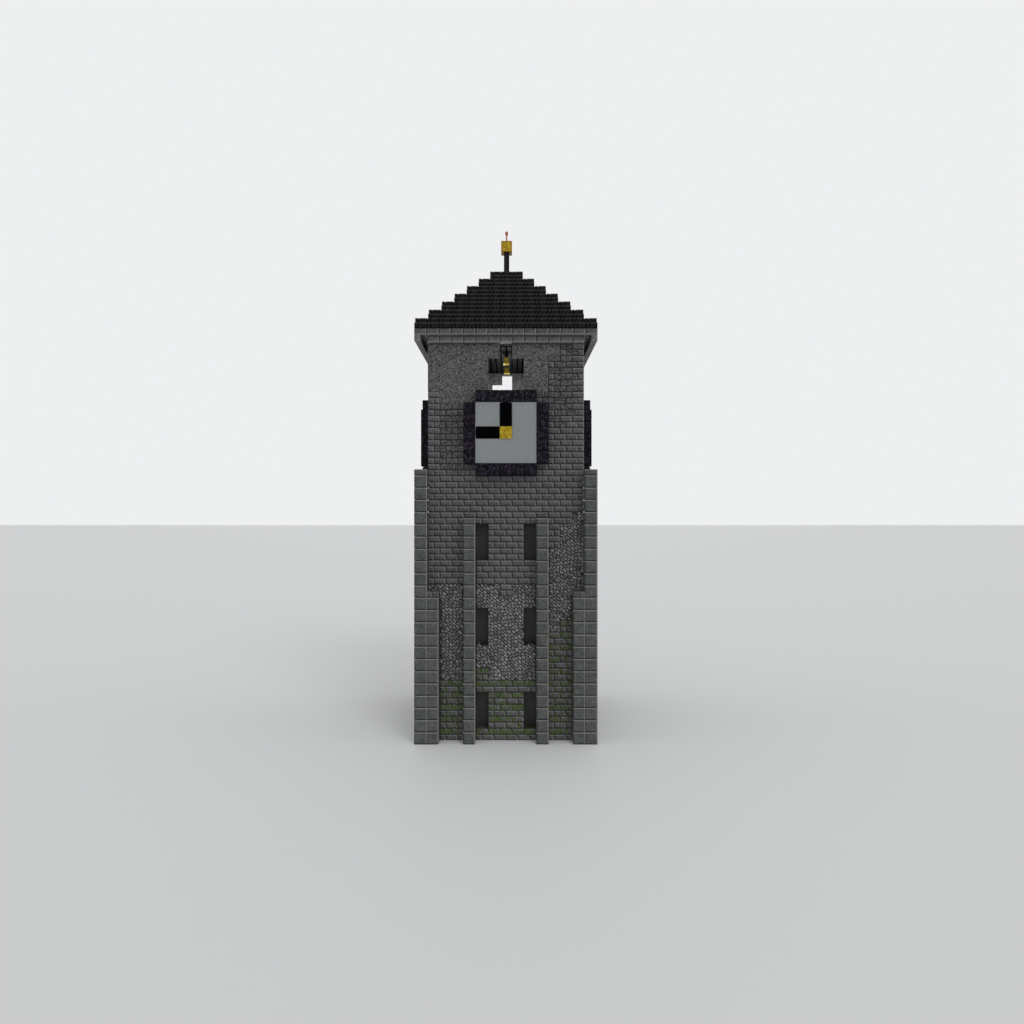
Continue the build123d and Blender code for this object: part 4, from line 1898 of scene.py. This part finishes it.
@dataclass
class DressedStones:
    """The smooth blocks of the buttresses, pilasters and cornice, with their slab caps."""

    yard: Yard
    cut: StoneCut = StoneCut(StoneForm.MARGINED, 0.01, 0.007, 0.036, 0.003, 0.003, 6.0)
    core_depth: float = 0.02
    corner_tuck: float = 0.03
    pilaster_seed: int = 101
    buttress_seed: int = 121
    cap_seed: int = 131
    cornice_seed: int = 141
    lower_cornice_seed: int = 151

    def start(self, node: str) -> None:
        """Build the core of a node."""
        self.yard.core(node, self.core_depth, Finishes.seam)

    def layer(self, name: str, seed: int, finish: StoneFinish = Finishes.dressed,
              form: StoneForm = StoneForm.MARGINED) -> StoneLayer:
        """An empty layer of dressed stones."""
        return StoneLayer(self.yard, name, replace(self.cut, form=form), finish, seed)

    def lay_column(self, layer: StoneLayer, left: float, front: float, rows: int, tuck: float = 0.0) -> None:
        """Stack the blocks of a column; a tuck lets its inner corner into the wall.

        Args:
            layer: its layer.
            left: its left side.
            front: its front side.
            rows: how many blocks it has.
            tuck: how far into the wall.
        """
        block = self.yard.block
        for row in range(rows):
            high = (left + block + tuck, front + block + tuck, (row + 1) * block)
            layer.lay((left, front, row * block), high, (0, 0, int(row > 0)), (0, 0, 1))

    def lay_cap(self, layer: StoneLayer, left: float, front: float, rows: int, tuck: float = 0.0) -> None:
        """Lay the slab on a column.

        Args:
            layer: its layer.
            left: the column's left side.
            front: its front side.
            rows: how many blocks it has.
            tuck: how far into the wall.
        """
        block = self.yard.block
        high = (left + block + tuck, front + block + tuck, (rows + 0.5) * block)
        layer.lay((left, front, rows * block), high, (0, 0, 1), (0, 0, 0))

    def build_pilasters(self, side: Side) -> None:
        """The two pilasters of a side.

        Args:
            side: the side.
        """
        node = f"{side.label}_pilasters"
        self.start(node)
        layer = self.layer(f"{node}_stones", self.pilaster_seed + side.value)
        for column in PILASTER_COLUMNS:
            place = (self.yard.column(column), -self.yard.face, PILASTER_ROWS)
            self.lay_column(layer, *place)
            self.lay_cap(layer, *place)
        layer.build(side.value)

    def build_buttress(self, node: str, quarters: int) -> None:
        """A corner column with its two flanks, laid out as the front left one and turned.

        Args:
            node: the buttress.
            quarters: quarter turns from the front left.
        """
        self.start(node)
        layer = self.layer(f"{node}_stones", self.buttress_seed + quarters)
        caps = self.layer(f"{node}_flank_caps", self.cap_seed + quarters, Finishes.cap)
        block, edge = self.yard.block, -self.yard.face
        self.lay_column(layer, edge, edge, CORNER_ROWS, self.corner_tuck)
        self.lay_cap(layer, edge, edge, CORNER_ROWS, self.corner_tuck)
        for axis, (left, front) in enumerate(((edge + block, edge), (edge, edge + block))):
            self.lay_column(layer, left, front, FLANK_ROWS)
            for piece in (0, 1):
                low = [left, front, FLANK_ROWS * block]
                low[axis] += piece * block / 2
                high = [low[0] + block, low[1] + block, low[2] + block / 2]
                high[axis] -= block / 2
                trim_low, trim_high = [0, 0, 1], [0, 0, 0]
                trim_low[axis], trim_high[axis] = piece, 1 - piece
                caps.lay(low, high, trim_low, trim_high)
        layer.build(quarters)
        caps.build(quarters)

    def build_cornice(self, side: Side) -> None:
        """The cornice of a side: full blocks above, and a half-deep row below them. Both rows carry a painted
        highlight at their foot, and the lower row is a lighter copy of the dressed stone, painted light
        against the shade under the upper row.

        Args:
            side: the side.
        """
        node = f"{side.label}_cornice"
        self.start(node)
        upper = self.layer(f"{node}_stones", self.cornice_seed + side.value, form=StoneForm.HUNG)
        # The lower row takes the lighter copy of the dressed stone, painted light against its shade
        lower = self.layer(f"{node}_lower_stones", self.lower_cornice_seed + side.value, Finishes.hung,
                           StoneForm.HUNG)
        block, face = self.yard.block, self.yard.face
        low = WALL_ROWS * block
        middle = low + block / 2
        front = -face if side.mirrored else -face + block / 2
        for column in range(1 - side.mirrored, WALL_COLUMNS + 1 + side.mirrored):
            left = self.yard.column(column)
            right = left + block
            upper.lay((left, -face, middle), (right, -face + block, low + block), (1, 0, 0), (1, 0, 0))
            lower.lay((left, front, low), (right, front + block / 2, middle), (1, 0, 0), (1, 0, 1))
        upper.build(side.value)
        lower.build(side.value)


@dataclass
class TiledRoof:
    """The stepped roof: two rows of tiles a course, on dark bedding."""

    yard: Yard
    cut: StoneCut = StoneCut(StoneForm.TILED, 0.026, 0.006, 0.04, 0.004, 0.005, 7.0)
    core_depth: float = 0.026
    wide_share: float = 0.7
    stagger: float = 0.06
    lap: float = 1.2
    shortest: float = 0.04
    tones: tuple[float, float] = (0.25, 0.66)
    tone_spread: float = 0.12
    courses: int = 7
    seed: int = 161

    def build(self) -> None:
        """Build the tiles of the roof's nodes, two courses a node and one for the cap."""
        nodes = ("roof_lower_courses", "roof_middle_courses", "roof_upper_courses", "roof_cap")
        for index, node in enumerate(nodes):
            self.yard.core(node, self.core_depth, Finishes.bedding)
            for side in Side:
                seed = self.seed + len(Side) * index + side.value
                layer = StoneLayer(self.yard, f"{node}_{side.label}_tiles", self.cut, Finishes.tile, seed)
                for course in range(2 * index, min(2 * index + 2, self.courses)):
                    self.lay_course(layer, side, course)
                layer.build(side.value)

    def lay_course(self, layer: StoneLayer, side: Side, course: int) -> None:
        """Lay a side's tiles of one course: its wide lower half, then its upper half set back.

        Args:
            layer: its layer.
            side: the side.
            course: from 0 at the eaves.
        """
        block = self.yard.block
        step = block / 2
        half = self.yard.face - course * block
        level = self.yard.top + course * block
        is_last = course == self.courses - 1
        lower_end = half - step * self.lap if side.mirrored else half
        upper_end = half - block if side.mirrored else half
        self.lay_row(layer, half, lower_end, half if is_last else step * self.lap, level, self.stagger)
        self.lay_row(layer, half - step, upper_end, half - step if is_last else step, level + step, 0.0)

    def lay_row(self, layer: StoneLayer, out: float, end: float, depth: float, level: float,
                shift: float) -> None:
        """Lay one row of wide and narrow tiles along one side of a square.

        Args:
            layer: the layer that the tiles go in.
            out: the row's distance from the middle line.
            end: half its length.
            depth: how deep it is.
            level: its foot.
            shift: how far its joints are moved along.
        """
        top = level + self.yard.block / 2
        start, is_wide = -end, False
        while start < end - TINY:
            width = self.yard.block * (self.wide_share if is_wide else 1 - self.wide_share)
            stop = min(start + width + (shift if start == -end else 0.0), end)
            stop = end if end - stop < self.shortest else stop
            tone = chance_tone(layer.random, self.tone_spread, self.tones[is_wide])
            layer.lay((start, -out, level), (stop, -out + depth, top), (int(start > -end), 0, 1),
                      (int(stop < end), 0, 0), tone)
            start, is_wide = stop, not is_wide


@dataclass
class Clock:
    """One side's clock: near-black blocks round a pale dial, with black hands and a gilt hub."""

    yard: Yard
    side: Side
    cut: StoneCut = StoneCut(StoneForm.ROUGH, 0.008, 0.008, 0.02, 0.002, 0.014, 9.0)
    core_depth: float = 0.016
    seed: int = 181

    def build(self) -> None:
        """Build the frame's core and blocks, and dress the dial, the hands and the hub."""
        yard, label, block = self.yard, self.side.label, self.yard.block
        node = f"{label}_clock_frame"
        yard.core(node, self.core_depth, Finishes.bedding)
        layer = StoneLayer(yard, f"{node}_blocks", self.cut, Finishes.glassy, self.seed + self.side.value)
        places = [(column, row) for row in (DIAL_ROWS[0], DIAL_ROWS[-1]) for column in DIAL_COLUMNS]
        places += [(column, row) for row in DIAL_ROWS[1:-1] for column in PILASTER_COLUMNS]
        for column, row in places:
            left, low = yard.column(column), row * block
            layer.lay((left, -yard.face, low), (left + block, -yard.wall, low + block))
        layer.build(self.side.value)
        yard.dress(Finishes.dial, f"{label}_dial")
        yard.dress(Finishes.hand, f"{label}_hour_hand", f"{label}_minute_hand")
        yard.dress(Finishes.gilt, f"{label}_hub")


@dataclass
class Windows:
    """The dark panes behind one side's windows, one sheet to a block."""

    yard: Yard
    side: Side
    cut: StoneCut = StoneCut(StoneForm.PLAIN, 0.003, 0.004)
    lap: float = 0.06
    thickness: float = 0.04
    seed: int = 201

    def build(self) -> None:
        """Lay each window's sheets, which lap the wall all round it."""
        block = self.yard.block
        node = f"{self.side.label}_window_panes"
        layer = StoneLayer(self.yard, f"{node}_sheets", self.cut, Finishes.pane, self.seed + self.side.value)
        front = -self.yard.wall + block
        for column, foot, step in product(WINDOW_COLUMNS, WINDOW_FEET, range(WINDOW_BLOCKS)):
            left = self.yard.column(column) - self.lap
            right = left + block + 2 * self.lap
            low = (foot + step) * block - (self.lap if step == 0 else 0)
            high = (foot + step + 1) * block + (self.lap if step == WINDOW_BLOCKS - 1 else 0)
            layer.lay((left, front, low), (right, front + self.thickness, high), (0, 0, 1), (0, 0, 1))
        layer.build(self.side.value, (node,))


@dataclass
class Belfry:
    """The belfry's tiled ceiling, its bells and their forks, and the tower's floors."""

    yard: Yard
    cut: StoneCut = StoneCut(StoneForm.PLAIN, 0.05, 0.006, relief=0.003)
    tile_width: float = 0.25
    tile_length: float = 0.375
    tile_depth: float = 0.06
    core_depth: float = 0.02
    seed: int = 221

    def build(self) -> None:
        """Build the ceiling, and dress the bells, the forks and the floors."""
        self.build_ceiling()
        self.yard.dress(Finishes.bronze, "front_bell", "back_bell")
        self.yard.dress(Finishes.iron, "bell_hangers")
        floors = ("ground_floor", "first_floor", "second_floor", "clock_floor", "belfry_floor")
        self.yard.dress(Finishes.brick, *floors)

    def build_ceiling(self) -> None:
        """Lay the tiles in rows on black bedding, with every other row half a tile on."""
        self.yard.core("belfry_ceiling", self.core_depth, Finishes.gap)
        low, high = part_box("belfry_ceiling")
        # The ceiling's tiles take the darker copy of the roof tile, painted shade of an underside
        layer = StoneLayer(self.yard, "ceiling_tiles", self.cut, Finishes.ceiling, self.seed)
        for row in range(round((high.x - low.x) / self.tile_width)):
            left, start = low.x + row * self.tile_width, low.y
            stop = start + self.tile_length * (0.5 if row % 2 else 1.0)
            while start < high.y - TINY:
                far = (left + self.tile_width, min(stop, high.y), low.z + self.tile_depth)
                layer.lay((left, start, low.z), far, (1, 1, 0), (1, 1, 0))
                start, stop = stop, stop + self.tile_length
        layer.build()


@dataclass
class Finial:
    """The finial: a post of dark tiles, a gilt cube with shallow panels, and a copper rod."""

    yard: Yard
    post_cut: StoneCut = StoneCut(StoneForm.MARGINED, 0.016, 0.005, 0.026, 0.002, 0.002, 9.0)
    post_core: float = 0.012
    post_shares: tuple[float, float] = (0.38, 0.62)
    post_seed: int = 241
    border: float = 0.045
    ease: float = 0.012
    ease_segments: int = 3
    panel_depth: float = 0.006
    square_within: float = 0.01

    def build(self) -> None:
        """Build the post and the cube, and dress the rod."""
        self.build_post()
        self.build_cube()
        self.yard.dress(Finishes.copper, "finial_rod")

    def build_post(self) -> None:
        """Lay two tiles to a course half as high as the post is wide, with joints that change about."""
        self.yard.core("finial_post", self.post_core, Finishes.bedding)
        low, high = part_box("finial_post")
        layer = StoneLayer(self.yard, "finial_post_tiles", self.post_cut, Finishes.tile, self.post_seed)
        width = high.x - low.x
        for course in range(round((high.z - low.z) / (width / 2))):
            bottom = low.z + course * width / 2
            share = self.post_shares[course % 2]
            for start, stop, is_first in ((0.0, share, True), (share, 1.0, False)):
                near = (low.x + start * width, low.y, bottom)
                far = (low.x + stop * width, high.y, bottom + width / 2)
                layer.lay(near, far, (int(not is_first), 0, 1), (int(is_first), 0, 0))
        layer.build()

    def build_cube(self) -> None:
        """Build the cube with eased edges, and a shallow panel and a rim on each face."""
        low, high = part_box("finial_cube")
        shape = bmesh.new()
        rim = shape.faces.layers.float.new("rim")
        bmesh.ops.create_cube(shape, size=high.x - low.x)
        bmesh.ops.translate(shape, vec=(low + high) / 2, verts=shape.verts)
        bmesh.ops.inset_individual(shape, faces=shape.faces[:], thickness=self.border)
        panels = sorted(shape.faces, key=lambda face: -face.calc_area())[:6]
        bmesh.ops.inset_individual(shape, faces=panels, thickness=self.panel_depth)
        for face in panels:
            for vertex in face.verts:
                vertex.co -= face.normal * self.panel_depth
        edges = [edge for edge in shape.edges
                 if abs(edge.calc_face_angle(0.0) - pi / 2) < self.square_within]
        bmesh.ops.bevel(shape, geom=edges, offset=self.ease, segments=self.ease_segments, profile=0.5,
                        affect="EDGES")
        broad = max(face.calc_area() for face in shape.faces) / 2
        for face in shape.faces:
            face[rim] = 0.0 if face.calc_area() > broad else 1.0
        mesh = bpy.data.meshes.new("gilt_cube")
        shape.to_mesh(mesh)
        shape.free()
        self.yard.place("gilt_cube", mesh, Finishes.gilt, nodes=("finial_cube",))


@dataclass
class Studio:
    """The camera, the lamps, the pale floor and the backdrop.

    The soft lamps are given by name, strength, tilt from overhead, turn to the right and spread in
    degrees; the belfry's by depth, level and power; the glow from the ground by level, width and
    strength.
    """

    camera_place: Corner = (0.25, -31.0, 9.5)
    view_angle: float = 75.0
    sensor: float = 36.0
    sight: float = 2000.0
    floor_size: float = 900.0
    lamps: tuple[tuple[str, float, float, float, float], ...] = (
        ("key", 0.6, 55.0, 30.0, 30.0),
        ("front_wash", 0.6, 86.0, 0.0, 50.0),
        ("right_wash", 0.5, 86.0, 90.0, 50.0),
        ("back_wash", 0.6, 86.0, 180.0, 50.0),
        ("left_wash", 0.5, 86.0, 270.0, 50.0),
    )
    fill_strength: float = 0.6
    belfry_lamps: tuple[Corner, ...] = ((-1.6, 15.0, 50.0), (1.6, 15.0, 110.0))
    belfry_radius: float = 0.2
    ground_glow: Corner = (0.02, 60.0, 0.4)
    pale: Colour = (238, 239, 240)
    floor_colour: Colour = (226, 227, 228)
    floor_roughness: float = 0.9
    floor_specular: float = 0.1

    def build(self) -> None:
        """Set the view transform and build the camera, the lamps, the backdrop and the floor."""
        bpy.context.scene.view_settings.view_transform = "Standard"
        camera = bpy.data.cameras.new("camera")
        camera.sensor_width = self.sensor
        camera.lens = self.sensor / (2 * tan(radians(self.view_angle / 2)))
        camera.clip_end = self.sight
        bpy.context.scene.camera = link("camera", camera, self.camera_place, (pi / 2, 0, 0))
        self.build_lamps()
        self.build_world()
        self.build_floor()

    def build_lamps(self) -> None:
        """The soft lamps all round, the glow from the ground and the belfry's lamps."""
        for name, strength, tilt, turn, spread in self.lamps:
            light = bpy.data.lights.new(name, "SUN")
            light.energy = strength
            light.angle = radians(spread)
            link(name, light, turn=(radians(tilt), 0, radians(turn)))
        level, width, strength = self.ground_glow
        panel = bpy.data.lights.new("ground_glow", "AREA")
        panel.size = width
        panel.energy = strength * pi * width ** 2
        link("ground_glow", panel, (0, 0, level), (pi, 0, 0)).visible_camera = False
        for depth, level, power in self.belfry_lamps:
            glow = bpy.data.lights.new("belfry_lamp", "POINT")
            glow.energy = power
            glow.shadow_soft_size = self.belfry_radius
            link("belfry_lamp", glow, (0, depth, level)).visible_camera = False

    def build_world(self) -> None:
        """Even light all round, and a pale backdrop where the camera sees past everything."""
        world = bpy.data.worlds.new("studio")
        world.use_nodes = True
        bpy.context.scene.world = world
        wiring = Wiring(world.node_tree)
        rays = wiring.add("ShaderNodeLightPath").outputs
        seen = rays["Is Camera Ray"]
        for kind in ("Is Glossy Ray", "Is Transmission Ray"):
            seen = wiring.maths("MAXIMUM", seen, rays[kind])
        light = wiring.add("ShaderNodeBackground", {"Color": (1, 1, 1, 1), "Strength": self.fill_strength})
        backdrop = wiring.add("ShaderNodeBackground", {"Color": linear(*self.pale), "Strength": 1.0})
        mixed = wiring.add("ShaderNodeMixShader", {0: seen, 1: light.outputs[0], 2: backdrop.outputs[0]})
        wiring.add("ShaderNodeOutputWorld", {0: mixed.outputs[0]})

    def build_floor(self) -> None:
        """A wide pale floor under the tower."""
        half = self.floor_size / 2
        places = [(-half, -half, 0), (half, -half, 0), (half, half, 0), (-half, half, 0)]
        mesh = make_mesh("floor", places, [(0, 1, 2, 3)], [False])
        paint = Paint("pale_floor")
        paint.shade(Base_Color=linear(*self.floor_colour), Roughness=self.floor_roughness,
                    Specular_IOR_Level=self.floor_specular)
        mesh.materials.append(paint.material)
        link("floor", mesh)


def main() -> None:
    """Load the frame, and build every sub-assembly over it."""
    logging.basicConfig(level=logging.INFO, format="%(message)s")
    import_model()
    Studio().build()
    yard = Yard()
    stones = DressedStones(yard)
    for side in Side:
        WallFacing(yard, side).build()
        stones.build_pilasters(side)
        stones.build_cornice(side)
        Clock(yard, side).build()
        Windows(yard, side).build()
    for quarters, corner in enumerate(("front_left", "front_right", "back_right", "back_left")):
        stones.build_buttress(f"{corner}_buttress", quarters)
    TiledRoof(yard).build()
    Belfry(yard).build()
    Finial(yard).build()


if __name__ == "__main__":
    main()
